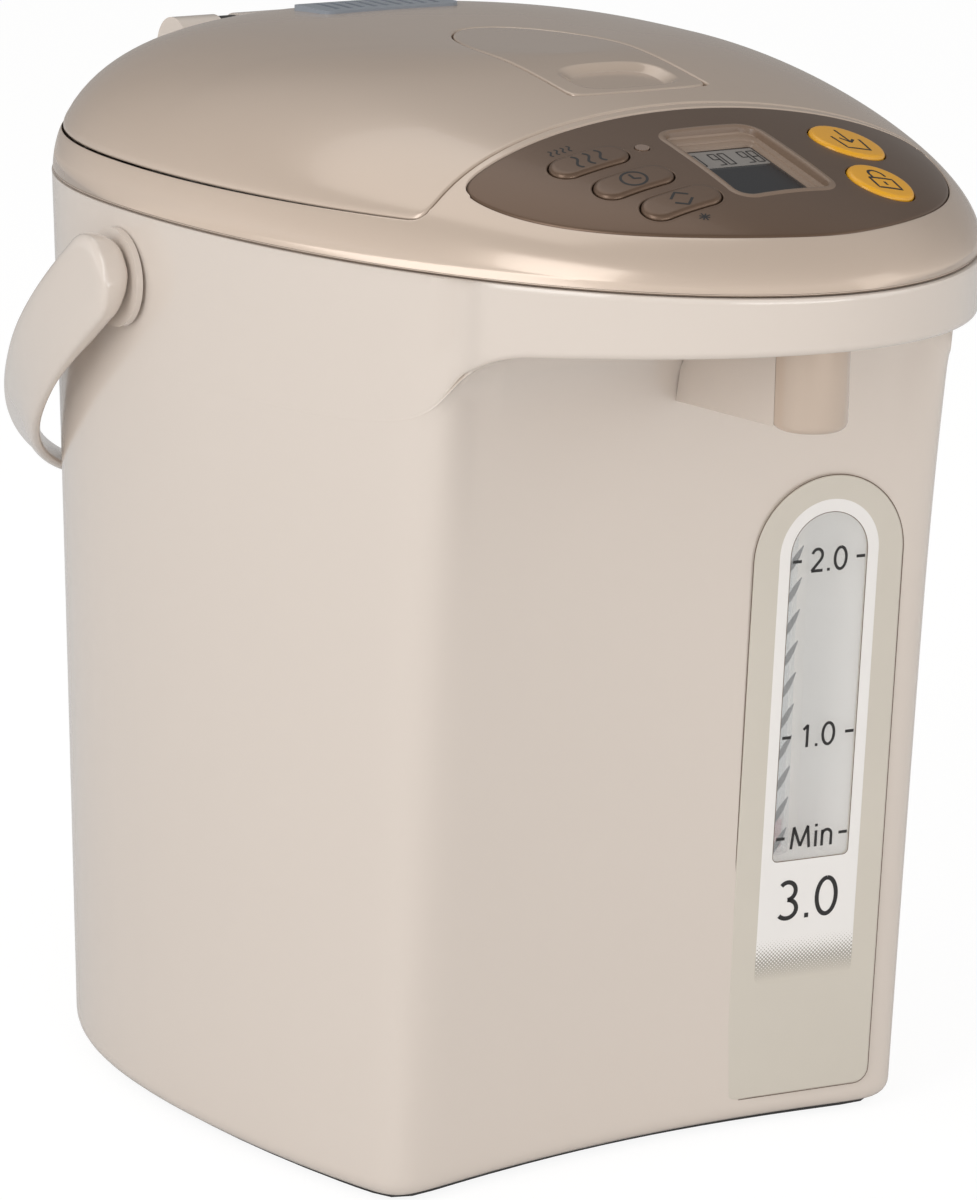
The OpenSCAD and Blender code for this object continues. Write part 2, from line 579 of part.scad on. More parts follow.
button_h = 8;
module key(p, grow = 0) on_dome(p) {
    translate([0, 0, button_proud - button_h]) linear_extrude(button_h - 0.7) children(0);
    translate([0, 0, button_proud - 0.7 - e]) linear_extrude(0.7 + e) children(1);
    translate([0, 0, button_proud - button_h - 2]) cylinder(r = 2, h = 2 + e, $fn = 24);
}
module pill_key(p) key(p) {
    pill(pill_l, pill_w);
    pill(pill_l - 1.2, pill_w - 1.2);
}
module reboil_button() color(taupe) pill_key(reboil_p);
module timer_button() color(taupe) pill_key(timer_p);
module select_button() color(taupe) pill_key(select_p);
module pour_button() color(yellow) key(pour_p) {
    circle(r = pour_r, $fn = 64);
    circle(r = pour_r - 0.7, $fn = 64);
}
module lock_button() color(yellow) key(lock_p) {
    circle(r = lock_r, $fn = 64);
    circle(r = lock_r - 0.7, $fn = 64);
}
module indicator_lens() color("darkorange") on_dome(lens_p) translate([0, 0, -6]) cylinder(r = 1.8, h = 6.1, $fn = 24);

board_tilt = 14.5;
board_low = 18;          // how far the board lies below the dome at the display
module on_board() translate([0, display_p[1], dome_z(display_p[0], display_p[1]) - board_low])
    rotate([board_tilt, 0, 0]) children();
module display_bezel() color([0.62, 0.54, 0.47]) skin() difference() {
    intersection() {
        on_board() translate([display_p[0], 0, 5]) linear_extrude(14) soft_rect(display_w + 3, display_l + 3, 4);
        dome_solid(drop = panel_t + 0.05);
    }
    hull() {
        on_board() translate([display_p[0], 0, 20]) linear_extrude(e) soft_rect(display_w, display_l, 4);
        on_board() translate([display_p[0], 0, 13.4]) linear_extrude(e) soft_rect(display_w - 1, display_l - 1, 4);
        on_board() translate([display_p[0] + 0.5, -3.5, 9.9]) linear_extrude(e) soft_rect(21, 27, 2);
    }
    on_board() translate([display_p[0] + 0.5, -3.5, 0]) linear_extrude(12) soft_rect(20.8, 26.8, 0.8);
}
module lcd_module() color([0.2, 0.23, 0.27]) on_board() translate([display_p[0] + 0.5, -3.5, 1.6])
    linear_extrude(8) square([20.2, 26.2], center = true);
module control_board() color("darkgreen") on_board() {
    linear_extrude(1.6) intersection() {
        translate([-60, -25]) square([120, 44]);
        translate([0, -display_p[1]]) panel_outline(-8);
    }
    for (p = [reboil_p, timer_p, select_p, pour_p, lock_p])
        translate([p[0] - 3, (p[1] - display_p[1]) / cos(board_tilt) - 3, 1.6 - e]) cube([6, 6, 1.6]);
}

// ---- Back of the pot ----

module power_inlet() color(dark) translate([0, 0, inlet_z]) difference() {
    union() {
        translate([-17, 90, -11]) cube([34, 18.6, 22]);
        translate([-20, 98, -14]) cube([40, 6.6, 28]);
    }
    translate([-14, 95, -8]) cube([28, 30, 16]);
    for (s = [-1, 1]) translate([s * 6, 80, 0]) rotate([-90, 0, 0]) cylinder(r = 2, h = 20, $fn = 24);
}
module power_board() color("darkgreen") {
    translate([-38, 66, 24]) cube([70, 1.6, 24]);
    translate([-28, 52, 30]) cube([16, 14.01, 12]);
    translate([-4, 56, 28]) rotate([-90, 0, 0]) cylinder(r = 4, h = 10.01, $fn = 32);
    for (x = [-36, 22]) translate([x, 60, casing_bottom + 3]) cube([8, 6.01, 24]);
}

// ---- Lid ----

lid_t = 2.6;
vent_half = [22, 10];
vent_y = 49;
module lid_shell() color(beige) skin() difference() {
    intersection() {
        dome_solid();
        translate([0, 0, lid_z]) linear_extrude(far) lid_outline(0);
    }
    intersection() {
        dome_solid(inset = 2, drop = lid_t);
        translate([0, 0, lid_z - 1]) linear_extrude(far) lid_outline(-2.4);
    }
    translate([0, 0, seam_z]) linear_extrude(far) lever_outline(0.35);
    translate([0, vent_y, seam_z]) linear_extrude(far)
        soft_rect(2 * vent_half[0] + 0.5, 2 * vent_half[1] + 0.5, 4, $fn = 24);
    translate([0, hinge_y, hinge_z]) rotate([0, 90, 0])
        cylinder(r = barrel_r + 0.6, h = 2 * barrel_half + 1.2, center = true, $fn = 64);
    translate([-barrel_half - 0.6, hinge_y - 11.3, lid_z - 5])
        cube([2 * barrel_half + 1.2, 30, hinge_z - lid_z + 5]);
    translate([-9.6, -lid_front - 4, bolt_z - 0.5]) cube([19.2, 10, 5]);
}
cup_r = 83;
module lid_inner() color("whitesmoke") difference() {
    union() {
        difference() {
            union() {
                translate([0, 0, lid_z - 2]) linear_extrude(2) lid_outline(-6.2);
                translate([0, vessel_y, 248]) cylinder(r = cup_r, h = lid_z - 248, $fn = 128);
            }
            translate([0, vessel_y, 250]) cylinder(r = cup_r - 2.4, h = 30, $fn = 128);
            translate([-barrel_half - 0.6, hinge_y - 11.3, 240]) cube([2 * barrel_half + 1.2, 40, 40]);
            for (s = [-1, 1]) translate([s * 62, 66, 240]) cylinder(r = 1.5, h = 30, $fn = 24);
        }
        translate([-12, -88, lid_z - e]) cube([24, 9, bolt_z - lid_z - 0.3 + e]);
        for (s = [-1, 1]) translate([s * 10.7 - 1.3, -88, lid_z - e]) cube([2.6, 9, 9]);
        for (s = [-1, 1]) translate([s * 17.5 - 2, lever_y - 4, 250 - e]) cube([4, 8, lever_z - 251.5 + e]);
    }
}
module inner_cover() color(steel) translate([0, vessel_y, 0]) {
    difference() {
        translate([0, 0, 246.8]) cylinder(r = 76, h = 1.2, $fn = 128);
        for (k = [0:5]) rotate(60 * k) translate([12, 0, 240]) cylinder(r = 2, h = 20, $fn = 24);
    }
}
module lid_gasket() color("lightgray") translate([0, vessel_y, 0]) rotate_extrude($fn = 128) polygon([
    [76.4, 246.6], [76.4, 248], [82.6, 248], [84.4, 245.2], [82, 245.2], [80.6, 246.6]]);
module lid_hinge_arm() color(dark) difference() {
    union() for (s = [-1, 1]) translate([s * (knuckle[0] + knuckle[1]) / 2, hinge_y, hinge_z]) {
        w = knuckle[1] - knuckle[0];
        rotate([0, 90, 0]) cylinder(r = barrel_r - 0.6, h = w, center = true, $fn = 64);
        translate([-w / 2, -30, -hinge_z + lid_z]) cube([w, 30, 5]);
        translate([-w / 2 - (s > 0 ? 7.5 : 0), -34, -hinge_z + lid_z]) cube([w + 7.5, 14, 3]);
    }
    translate([0, hinge_y, hinge_z]) rotate([0, 90, 0]) cylinder(r = pin_r + run, h = 70, center = true, $fn = 32);
}
module lid_screws() color(steel) for (s = [-1, 1]) translate([s * 62, 66, 0]) {
    translate([0, 0, lid_z - 4]) cylinder(r = 3, h = 2, $fn = 24);
    translate([0, 0, lid_z - 2 - e]) cylinder(r = 1.5, h = 10, $fn = 24);
}
module vent_cover() color([0.55, 0.57, 0.6]) difference() {
    translate([0, vent_y, dome_top - 8]) linear_extrude(8.2) soft_rect(2 * vent_half[0], 2 * vent_half[1], 4);
    translate([0, vent_y, dome_top - 9]) linear_extrude(6.6) soft_rect(2 * vent_half[0] - 4, 2 * vent_half[1] - 4, 3);
    for (k = [-4:4]) translate([4 * k, vent_y, dome_top - 9]) linear_extrude(12) square([1.8, 13], center = true);
    translate([0, vent_y + 12, dome_top - 1]) rotate([-6, 0, 0]) translate([-30, -10, 0.3]) cube([60, 30, 5]);
}

lever_y = -12;           // the lever's pin
lever_z = dome_top - 7;
module release_lever() color([0.80, 0.75, 0.69]) {
    difference() {
        skin() difference() {
            intersection() {
                dome_solid();
                translate([0, 0, seam_z + 1]) linear_extrude(far) lever_outline(0);
            }
            dome_solid(drop = lid_t);
            hull() {
                translate([0, -71, dome_z(0, -71) + 3]) linear_extrude(1) soft_rect(34, 22, 7, $fn = 24);
                translate([0, -72, dome_z(0, -71) - 1.7]) linear_extrude(1) soft_rect(26, 13, 6, $fn = 24);
            }
        }
    }
    for (s = [-1, 1]) difference() {
        translate([s * 7 - 1.5, lever_y - 4, lever_z - 4]) cube([3, 8, 9]);
        translate([0, lever_y, lever_z]) rotate([0, 90, 0]) cylinder(r = 1.5 + run, h = 60, center = true, $fn = 24);
    }
}
module lever_pin() color(steel) translate([0, lever_y, lever_z]) rotate([0, 90, 0])
    cylinder(r = 1.5, h = 40, center = true, $fn = 24);
bolt_z = 266;
module latch_bolt() color("whitesmoke") {
    translate([-9, -98.5, bolt_z]) cube([18, 26, 4]);
    translate([-6, -80, bolt_z + 3.9]) cube([12, 6, 8]);
}
module latch_keeper() color("gray") difference() {
    translate([-14, -101.5, bolt_z - 6]) cube([28, 6.1, 16]);
    translate([-11, -99.6, bolt_z - 1]) cube([22, 10, 6]);
}

// ---- Carry handle ----

hub_r = 12;
hub_in = 109.4;
bail_n = 2.2;
roll_max = 58;           // how far the strap has rolled over at the grip
BAIL_STEPS = 44;
RIM = [for (t = [0:30:330]) [pow(abs(cos(t)), 0.7) * sign(cos(t)), pow(abs(sin(t)), 0.7) * sign(sin(t))]];
function ease(t) = t * t * (3 - 2 * t);
// The strap's middle line, half an oval: across, and out from the pivot
function bail_point(t) = [-bail_half * sign(cos(t)) * pow(abs(cos(t)), 2 / bail_n), bail_reach * pow(sin(t), 2 / bail_n)];
function bail_out(t) = let (d = bail_point(min(179.5, t + 0.5)) - bail_point(max(0.5, t - 0.5)), u = d / norm(d)) [-u[1], u[0]];
function roll_at(t) = let (q = 1 - abs(t - 90) / 90) ease(min(1, max(0, (q - 0.25) / 0.55)));
module carry_handle() color(beige) translate([0, 0, pivot_z]) rotate([-bail_drop, 0, 0]) {
    n = len(RIM);
    steps = [for (i = [0:BAIL_STEPS]) 3 + 174 * i / BAIL_STEPS];
    polyhedron(
        points = [for (t = steps) let (p = bail_point(t), o = bail_out(t), q = roll_at(t), a = roll_max * q,
            w = mix(arm_w, grip_w, q) / 2) for (k = RIM)
            [p[0] + o[0] * (k[0] * w * sin(a) + k[1] * strap_t / 2 * cos(a)),
                p[1] + o[1] * (k[0] * w * sin(a) + k[1] * strap_t / 2 * cos(a)),
                k[0] * w * cos(a) - k[1] * strap_t / 2 * sin(a)]],
        faces = concat([[for (k = [n - 1:-1:0]) k]], [[for (k = [0:n - 1]) BAIL_STEPS * n + k]],
            [for (i = [0:BAIL_STEPS - 1], k = [0:n - 1])
                let (a = i * n + k, b = i * n + (k + 1) % n, c = a + n, d = b + n) each [[a, b, d], [a, d, c]]]));
    for (s = [-1, 1]) rotate([0, 90 * s, 0]) difference() {
        translate([0, 0, hub_in]) cylinder(r = hub_r, h = bail_half + 1.6 - hub_in, $fn = 48);
        translate([0, 0, hub_in - 1]) cylinder(r = 4.02, h = 5.1, $fn = 32);
    }
}
module handle_pins() color(steel) for (s = [-1, 1]) translate([0, 0, pivot_z]) rotate([0, 90 * s, 0])
    translate([0, 0, 98]) cylinder(r = 4, h = hub_in + 4 - 98, $fn = 32);
module handle_bosses() color(beige) for (s = [-1, 1]) translate([0, 0, pivot_z]) rotate([0, 90 * s, 0]) difference() {
    union() {
        translate([0, 0, pivot_x + 1]) cylinder(r = boss_r, h = 1.8, $fn = 48);
        translate([0, 0, 97]) cylinder(r = bush_r, h = pivot_x - 95.5, $fn = 48);
    }
    translate([0, 0, 90]) cylinder(r = 4 + run, h = 40, $fn = 32);
}

body_casing();
base_cover();
base_feet();
base_screws();
chassis();
upper_frame();
hinge_block();
hinge_pin();
inner_vessel();
heater_plate();
thermostat();
pump_housing();
pump_motor();
pump_impeller();
lower_elbow();
gauge_tube();
gauge_channel();
level_float();
upper_elbow();
spout_nozzle();
spout_pod();
gauge_plate();
gauge_window();
control_panel();
display_bezel();
lcd_module();
control_board();
indicator_lens();
reboil_button();
timer_button();
select_button();
pour_button();
lock_button();
latch_keeper();
power_inlet();
power_board();
lid_shell();
lid_inner();
inner_cover();
lid_gasket();
lid_hinge_arm();
lid_screws();
vent_cover();
release_lever();
lever_pin();
latch_bolt();
handle_bosses();
carry_handle();
handle_pins();
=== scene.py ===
"""Electric thermo pot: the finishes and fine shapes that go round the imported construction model."""

import json

import bpy
import numpy as np
from bpy.props import FloatProperty, FloatVectorProperty, PointerProperty
from mathutils import Matrix


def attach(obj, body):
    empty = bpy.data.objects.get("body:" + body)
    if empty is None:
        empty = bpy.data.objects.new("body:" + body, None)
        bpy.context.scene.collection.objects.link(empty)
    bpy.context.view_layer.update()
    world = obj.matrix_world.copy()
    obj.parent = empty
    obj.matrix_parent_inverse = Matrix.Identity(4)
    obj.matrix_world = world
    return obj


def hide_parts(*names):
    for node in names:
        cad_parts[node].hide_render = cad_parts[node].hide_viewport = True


bl_info = {
    "name": "Thermo Pot",
    "version": (1, 0, 0),
    "blender": (4, 5, 0),
    "location": "3D View > Sidebar > Thermo Pot",
    "description": "Builds the moulded shell, lid, panel, gauge and handle of an electric thermo pot",
    "category": "Add Mesh",
}

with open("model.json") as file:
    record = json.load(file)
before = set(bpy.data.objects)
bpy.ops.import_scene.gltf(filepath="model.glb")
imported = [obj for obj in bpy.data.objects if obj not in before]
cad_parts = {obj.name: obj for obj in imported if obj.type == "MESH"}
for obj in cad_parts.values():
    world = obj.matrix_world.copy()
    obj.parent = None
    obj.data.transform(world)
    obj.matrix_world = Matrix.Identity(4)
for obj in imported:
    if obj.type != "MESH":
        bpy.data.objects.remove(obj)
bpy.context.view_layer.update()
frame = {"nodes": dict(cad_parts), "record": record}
MM = 0.001


# ---- Colours and shader expressions ----

def linear(rgb):
    """Linear colour of a colour given as 0 to 255 display values."""
    c = np.array(rgb, float) / 255
    return tuple(np.where(c <= 0.04045, c / 12.92, ((c + 0.055) / 1.055) ** 2.4)) + (1.0,)


def tinted(colour, share):
    """The colour made darker by a share below 1, or lighter by one above 1."""
    return tuple(min(1.0, c * share) for c in colour[:3]) + (1.0,)


class Val:
    """A socket's value in a material. Sums and products on it add Math nodes."""

    def __init__(self, tree, out):
        self.tree, self.out = tree, out

    def math(self, op, *others, first=True):
        node = self.tree.nodes.new("ShaderNodeMath")
        node.operation = op
        terms = [self, *others] if first else [*others, self]
        for socket, term in zip(node.inputs, terms):
            plug(self.tree, socket, term)
        return Val(self.tree, node.outputs[0])

    def __add__(self, other):
        return self.math("ADD", other)

    __radd__ = __add__

    def __sub__(self, other):
        return self.math("SUBTRACT", other)

    def __rsub__(self, other):
        return self.math("SUBTRACT", other, first=False)

    def __mul__(self, other):
        return self.math("MULTIPLY", other)

    def __truediv__(self, other):
        return self.math("DIVIDE", other)

    def __pow__(self, other):
        return self.math("POWER", other)

    def __gt__(self, other):
        return self.math("GREATER_THAN", other)

    def frac(self):
        return self.math("FRACT")

    def min(self, other):
        return self.math("MINIMUM", other)

    def max(self, other):
        return self.math("MAXIMUM", other)

    def clamp(self):
        return self.max(0.0).min(1.0)

    def ramp(self, low, high):
        """0 below low, 1 above high and straight between."""
        return ((self - low) / (high - low)).clamp()


def plug(tree, socket, term):
    """Links a value to a socket, or writes a plain number or colour on it."""
    if isinstance(term, Val):
        tree.links.new(term.out, socket)
    elif term is not None:
        socket.default_value = term


class Nodes:
    """An emptied node tree. put() adds any node: its settings first, then the values or links of its sockets."""

    def __init__(self, tree):
        self.tree = tree
        tree.nodes.clear()

    def put(self, kind, settings=(), out=0, **sockets):
        node = self.tree.nodes.new("ShaderNode" + kind)
        for key, value in dict(settings).items():
            if key == "stops":
                ramp = node.color_ramp
                while len(ramp.elements) < len(value):
                    ramp.elements.new(0.5)
                for element, (place, colour) in zip(ramp.elements, value):
                    element.position, element.color = place, colour
            else:
                setattr(node, key, value)
        for key, value in sockets.items():
            name = key.replace("_", " ")
            socket = next(s for s in node.inputs if s.name == name and s.enabled)
            plug(self.tree, socket, value)
        return Val(self.tree, node.outputs[out])

    def seen(self):
        """1 on rays that come straight from the camera or through something clear."""
        rays = self.put("LightPath").out.node.outputs
        return Val(self.tree, rays["Is Camera Ray"]).max(Val(self.tree, rays["Is Transmission Ray"]))

    def blend(self, amount, a, b):
        """Shader a where amount is 0 and b where it is 1."""
        shader = self.put("MixShader")
        for socket, term in zip(shader.out.node.inputs, (amount, a, b)):
            plug(self.tree, socket, term)
        return shader


class Finish(Nodes):
    """One material."""

    def __init__(self, name):
        self.mat = bpy.data.materials.new(name)
        self.mat.use_nodes = True
        super().__init__(self.mat.node_tree)

    def place(self):
        """(x, y, z) of the point in metres, each as a value, and the whole vector."""
        at = self.put("TexCoord", out=3)
        split = self.put("SeparateXYZ", Vector=at)
        axes = [Val(self.tree, o) for o in split.out.node.outputs]
        return (*axes, at)

    def noise(self, scale, detail=3.0, rough=0.5, at=None):
        return self.put("TexNoise", Vector=at or self.place()[3], Scale=scale, Detail=detail, Roughness=rough)

    def mix(self, amount, a, b):
        """Colour a where amount is 0 and b where it is 1."""
        node = self.put("Mix", {"data_type": "RGBA"}).out.node
        for index, term in ((0, amount), (6, a), (7, b)):
            plug(self.tree, node.inputs[index], term)
        return Val(self.tree, node.outputs[2])

    def bump(self, height, strength, distance):
        return self.put("Bump", Strength=strength, Distance=distance, Height=height)

    def close(self, shader):
        """The material, with the shader wired to its output."""
        end = self.tree.nodes.new("ShaderNodeOutputMaterial")
        self.tree.links.new(shader.out, end.inputs[0])
        return self.mat

    def surface(self, **sockets):
        """The material, with the plain surface shader."""
        return self.close(self.put("BsdfPrincipled", **sockets))


def gloss_plastic(name, colour, rough=0.16, coat=0.6, peel=0.05, fleck=0.012, pearl=0.0):
    """Moulded gloss plastic: faint clouding of the colour, a slight orange peel and a few fine scuffs.
    Pearl is the share that reflects in its own colour."""
    f = Finish(name)
    at = f.place()[3]
    cloud = f.noise(9.0, 4.0, 0.55, at)
    grain = f.noise(5200.0, 1.0, 0.5, at)
    shade = (cloud - 0.5) * 0.05 + (grain - 0.5) * fleck * 4 + 0.5
    wipe = f.noise(38.0, 5.0, 0.65, at)
    peel_height = f.noise(420.0, 2.0, 0.45, at)
    return f.surface(
        Base_Color=f.mix(shade.clamp(), tinted(colour, 0.955), tinted(colour, 1.045)),
        Roughness=(rough + (wipe - 0.5) * 0.06 + (cloud - 0.5) * 0.03).clamp(),
        IOR=1.5,
        Metallic=pearl,
        Coat_Weight=coat,
        Coat_Roughness=0.06,
        Normal=f.bump(peel_height, peel, 0.00012),
    )


def satin_plastic(name, colour, rough=0.42, grain=0.25):
    """Moulded plastic with a fine spark-eroded grain."""
    f = Finish(name)
    at = f.place()[3]
    cloud = f.noise(14.0, 4.0, 0.6, at)
    tooth = f.noise(2600.0, 2.0, 0.6, at)
    return f.surface(
        Base_Color=f.mix((0.5 + (cloud - 0.5) * 0.6).clamp(), tinted(colour, 0.9), tinted(colour, 1.08)),
        Roughness=(rough + (cloud - 0.5) * 0.12).clamp(),
        IOR=1.48,
        Normal=f.bump(tooth, grain, 0.00004),
    )


def spun_steel(name, centre=(0.0, 0.005), tint=(0.76, 0.765, 0.77, 1.0)):
    """Spun sheet steel: fine rings about the vessel's axis, with faint heat tint and water marks."""
    f = Finish(name)
    x, y, z, at = f.place()
    radius = ((x - centre[0]) ** 2.0 + (y - centre[1]) ** 2.0) ** 0.5
    rings = f.noise(900.0, 2.0, 0.6, f.put("CombineXYZ", X=radius, Y=z * 0.6, Z=0.0))
    marks = f.noise(45.0, 4.0, 0.6, at)
    return f.surface(
        Base_Color=f.mix(marks, tinted(tint, 0.88), tint),
        Metallic=1.0,
        Roughness=(0.24 + (rings - 0.5) * 0.12 + (marks - 0.5) * 0.1).clamp(),
        Normal=f.bump(rings, 0.08, 0.00005),
    )


def turned_metal(name, tint=(0.7, 0.7, 0.71, 1.0), rough=0.3):
    """Plain turned or cast metal with a fine grain."""
    f = Finish(name)
    at = f.place()[3]
    grain = f.noise(1500.0, 3.0, 0.6, at)
    cloud = f.noise(60.0, 3.0, 0.5, at)
    return f.surface(
        Base_Color=f.mix(cloud, tinted(tint, 0.85), tint),
        Metallic=1.0,
        Roughness=(rough + (grain - 0.5) * 0.15).clamp(),
        Normal=f.bump(grain, 0.1, 0.00003),
    )


def clear_plastic(name, tint=(0.9, 0.92, 0.93, 1.0), cover=0.16):
    """Thin clear moulded plastic: mostly see-through, with a little haze."""
    f = Finish(name)
    haze = f.noise(120.0, 3.0, 0.6, f.place()[3])
    return f.surface(
        Base_Color=f.mix(haze, tinted(tint, 0.97), tint),
        Roughness=0.04 + haze * 0.03,
        IOR=2.2,
        Alpha=(cover + (haze - 0.5) * 0.04).clamp(),
    )


def painted_glow_plastic(name, colour):
    """Milky plastic with a painted glow: a steady emission stands in for the light falling round it."""
    f = Finish(name)
    cloud = f.noise(40.0, 3.0, 0.5, f.place()[3])
    return f.surface(
        Base_Color=f.mix(cloud, tinted(colour, 0.93), colour),
        Roughness=0.4 + cloud * 0.1,
        # Painted light: a steady glow, though the part is no lamp.
        Emission_Color=colour,
        Emission_Strength=0.3,
    )


# Heights in metres where the scale sheet's white dots start, where the ground between them is darkest and where
# the dots have closed up, and their pitch.
FADE_LOW, FADE_DARK, FADE_HIGH, DOT_PITCH = 0.0425, 0.048, 0.0555, 0.00078


def scale_sheet(name, white, ground):
    """White printed sheet that fades downwards into its ground through a dot screen."""
    f = Finish(name)
    x, _, z, at = f.place()
    turn = 2 ** -0.5 / DOT_PITCH
    a, b = (x - z) * turn, (x + z) * turn
    spot = ((a.frac() - 0.5) ** 2.0 + (b.frac() - 0.5) ** 2.0) ** 0.5
    reach = z.ramp(FADE_LOW, FADE_HIGH) * 0.72
    cloud = f.noise(60.0, 3.0, 0.5, at)
    paper = f.mix(cloud, tinted(white, 0.97), white)
    dots = f.mix(z.ramp(FADE_LOW, FADE_DARK), ground, tinted(ground, 0.62))
    return f.surface(Base_Color=f.mix(reach > spot, dots, paper), Roughness=0.28 + cloud * 0.05, IOR=1.48)


# ---- Shape formulas, in millimetres ----

def mix(a, b, t):
    return a + (b - a) * t


def spread(*values):
    """The values as arrays of one common shape."""
    return np.broadcast_arrays(*(np.asarray(v, float) for v in values))


def ease(t):
    """0 to 1 with level ends."""
    t = np.clip(t, 0, 1)
    return t * t * (3 - 2 * t)


# Outlines by height: half width, depth behind the axis and depth in front of it.
SHOULDER = (107.4, 109.4, 182.0)
DOME = (107.0, 109.0, 180.5)
FOOT = (98.3, 110.2, 196.4)
NECK = (106.0, 108.9, 189.9)
# Powers of the outlines' halves.
BACK_N, FRONT_N, FOOT_N = 2.36, 1.96, 1.8
# Height of the casing's seam, of the dome over it and of the lid's seam over it.
SEAM_Z, DOME_H, LID_SEAM = 249.0, 40.8, 12.7
# Power of the dome's rise, how far its top drifts towards the spout and the power of that drift.
DOME_N, SHIFT, DRIFT = 2.03, -50.5, 2.4
# Fullness of the dome at the sides, in front and behind.
SIDE_POWER, FRONT_POWER, BACK_POWER = 3.35, 1.45, 4.85


def oval(th, a, b, n):
    """Radius of a superellipse with half-axes a and b and power n, in the direction th."""
    return ((np.abs(np.cos(th)) / a) ** n + (np.abs(np.sin(th)) / b) ** n) ** (-1 / n)


def plan(th, half, front_n):
    """Outline whose back half and front half are different superellipses on the same width."""
    return np.where(np.sin(th) >= 0, oval(th, half[0], half[1], BACK_N), oval(th, half[0], half[2], front_n))


def front_face(th, a, face, hollow):
    """Distance along th to the shallow hollow curve -y = face + hollow (x / a) squared."""
    u = -np.sin(th)
    k = hollow * (np.cos(th) / a) ** 2 + 1e-9
    d = u * u - 4 * k * face
    return np.where((u > 0) & (d > 0), (u - np.sqrt(np.maximum(d, 0))) / (2 * k), 1e4)


def soft_min(p, q, k):
    """The smaller of two lengths, blended where they are nearly the same."""
    return (p ** -k + q ** -k) ** (-1 / k)


def dome_power(th):
    """Fullness of the dome in the direction th: sides, front and back differ."""
    s = np.sin(th)
    return SIDE_POWER + np.where(s < 0, FRONT_POWER - SIDE_POWER, BACK_POWER - SIDE_POWER) * s * s


def dome_z(x, y):
    """Height of the dome over (x, y). The level curves are smaller copies of the seam's outline that drift
    towards the spout, and the one through the point is found by halving."""
    x, y = spread(x, y)
    lo, hi = np.zeros(x.shape), np.full(x.shape, 1.05)
    for _ in range(34):
        mid = (lo + hi) / 2
        dy = y - SHIFT * np.maximum(0, 1 - mid) ** DRIFT
        inside = np.hypot(x, dy) < mid * plan(np.arctan2(dy, x), DOME, FRONT_N)
        hi, lo = np.where(inside, mid, hi), np.where(inside, lo, mid)
    rho = (lo + hi) / 2
    th = np.arctan2(y - SHIFT * np.maximum(0, 1 - rho) ** DRIFT, x)
    return SEAM_Z + DOME_H * np.maximum(0, 1 - np.minimum(rho, 1) ** dome_power(th)) ** (1 / DOME_N)


def dome_normal(x, y):
    """Unit normals of the dome over (x, y), from central differences."""
    gx = dome_z(x + 0.5, y) - dome_z(x - 0.5, y)
    gy = dome_z(x, y + 0.5) - dome_z(x, y - 0.5)
    n = np.stack([-gx, -gy, np.ones_like(gx)], -1)
    return n / np.linalg.norm(n, axis=-1, keepdims=True)


def lid_radius(th):
    """The lid's outline: the dome's level curve at the lid seam, cut by the bowed front edge."""
    level = plan(th, DOME, FRONT_N) * (1 - (LID_SEAM / DOME_H) ** DOME_N) ** (1 / dome_power(th))
    return soft_min(level, front_face(th, 100, 94.4, 18.0), 70)


# ---- Mesh helpers ----

def rings_to_faces(rows, cols, closed_cols=True):
    """Quads of a grid of rows by cols points, wound so that rows x cols faces outwards."""
    r, c = np.meshgrid(np.arange(rows - 1), np.arange(cols if closed_cols else cols - 1), indexing="ij")
    r, c = r.ravel(), c.ravel()
    d = (c + 1) % cols
    return np.stack([r * cols + c, r * cols + d, (r + 1) * cols + d, (r + 1) * cols + c], -1)


def new_piece(name, verts_mm, quads, material, body, smooth=35.0, tris=None, on_dome=None):
    """Makes a mesh object from points in millimetres and whole arrays of faces, and rides it on its body.
    Points marked on_dome shade with the dome's own normals."""
    mesh = bpy.data.meshes.new(name)
    verts = np.asarray(verts_mm, np.float64).reshape(-1, 3) * MM
    counts, loops = np.full(len(quads), 4), quads.ravel()
    if tris is not None:
        loops = np.concatenate([loops, tris.ravel()])
        counts = np.concatenate([counts, np.full(len(tris), 3)])
    mesh.vertices.add(len(verts))
    mesh.vertices.foreach_set("co", verts.ravel())
    mesh.loops.add(len(loops))
    mesh.loops.foreach_set("vertex_index", loops.astype(np.int32))
    mesh.polygons.add(len(counts))
    starts = np.concatenate([[0], np.cumsum(counts)[:-1]]).astype(np.int32)
    mesh.polygons.foreach_set("loop_start", starts)
    mesh.update(calc_edges=True)
    mesh.validate()
    piece = bpy.data.objects.new(name, mesh)
    bpy.context.scene.collection.objects.link(piece)
    smooth_by_angle(piece, smooth)
    if on_dome is not None:
        flat = np.asarray(verts_mm, float).reshape(-1, 3)
        normals = np.where(on_dome.reshape(-1, 1), dome_normal(flat[:, 0], flat[:, 1]), 0.0)
        mesh.normals_split_custom_set_from_vertices(normals.tolist())
    mesh.materials.append(material)
    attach(piece, body)
    return piece


def smooth_by_angle(piece, degrees):
    """Smooth shading, with the edges sharper than the angle kept crisp."""
    mesh = piece.data
    mesh.polygons.foreach_set("use_smooth", np.ones(len(mesh.polygons), bool))
    mesh.set_sharp_from_angle(angle=np.radians(degrees))


def offset_curve(curve, distance):
    """A closed plan curve moved sideways along its own normals; positive moves outwards."""
    ahead, behind = np.roll(curve, -1, 0), np.roll(curve, 1, 0)
    d = ahead - behind
    n = np.stack([d[:, 1], -d[:, 0]], -1)
    n /= np.linalg.norm(n, axis=1, keepdims=True) + 1e-12
    return curve + n * distance


def resample(curve, count):
    """The same closed curve with evenly spaced points."""
    closed = np.vstack([curve, curve[:1]])
    s = np.concatenate([[0], np.cumsum(np.linalg.norm(np.diff(closed, axis=0), axis=1))])
    t = np.linspace(0, s[-1], count, endpoint=False)
    return np.stack([np.interp(t, s, closed[:, k]) for k in (0, 1)], -1)


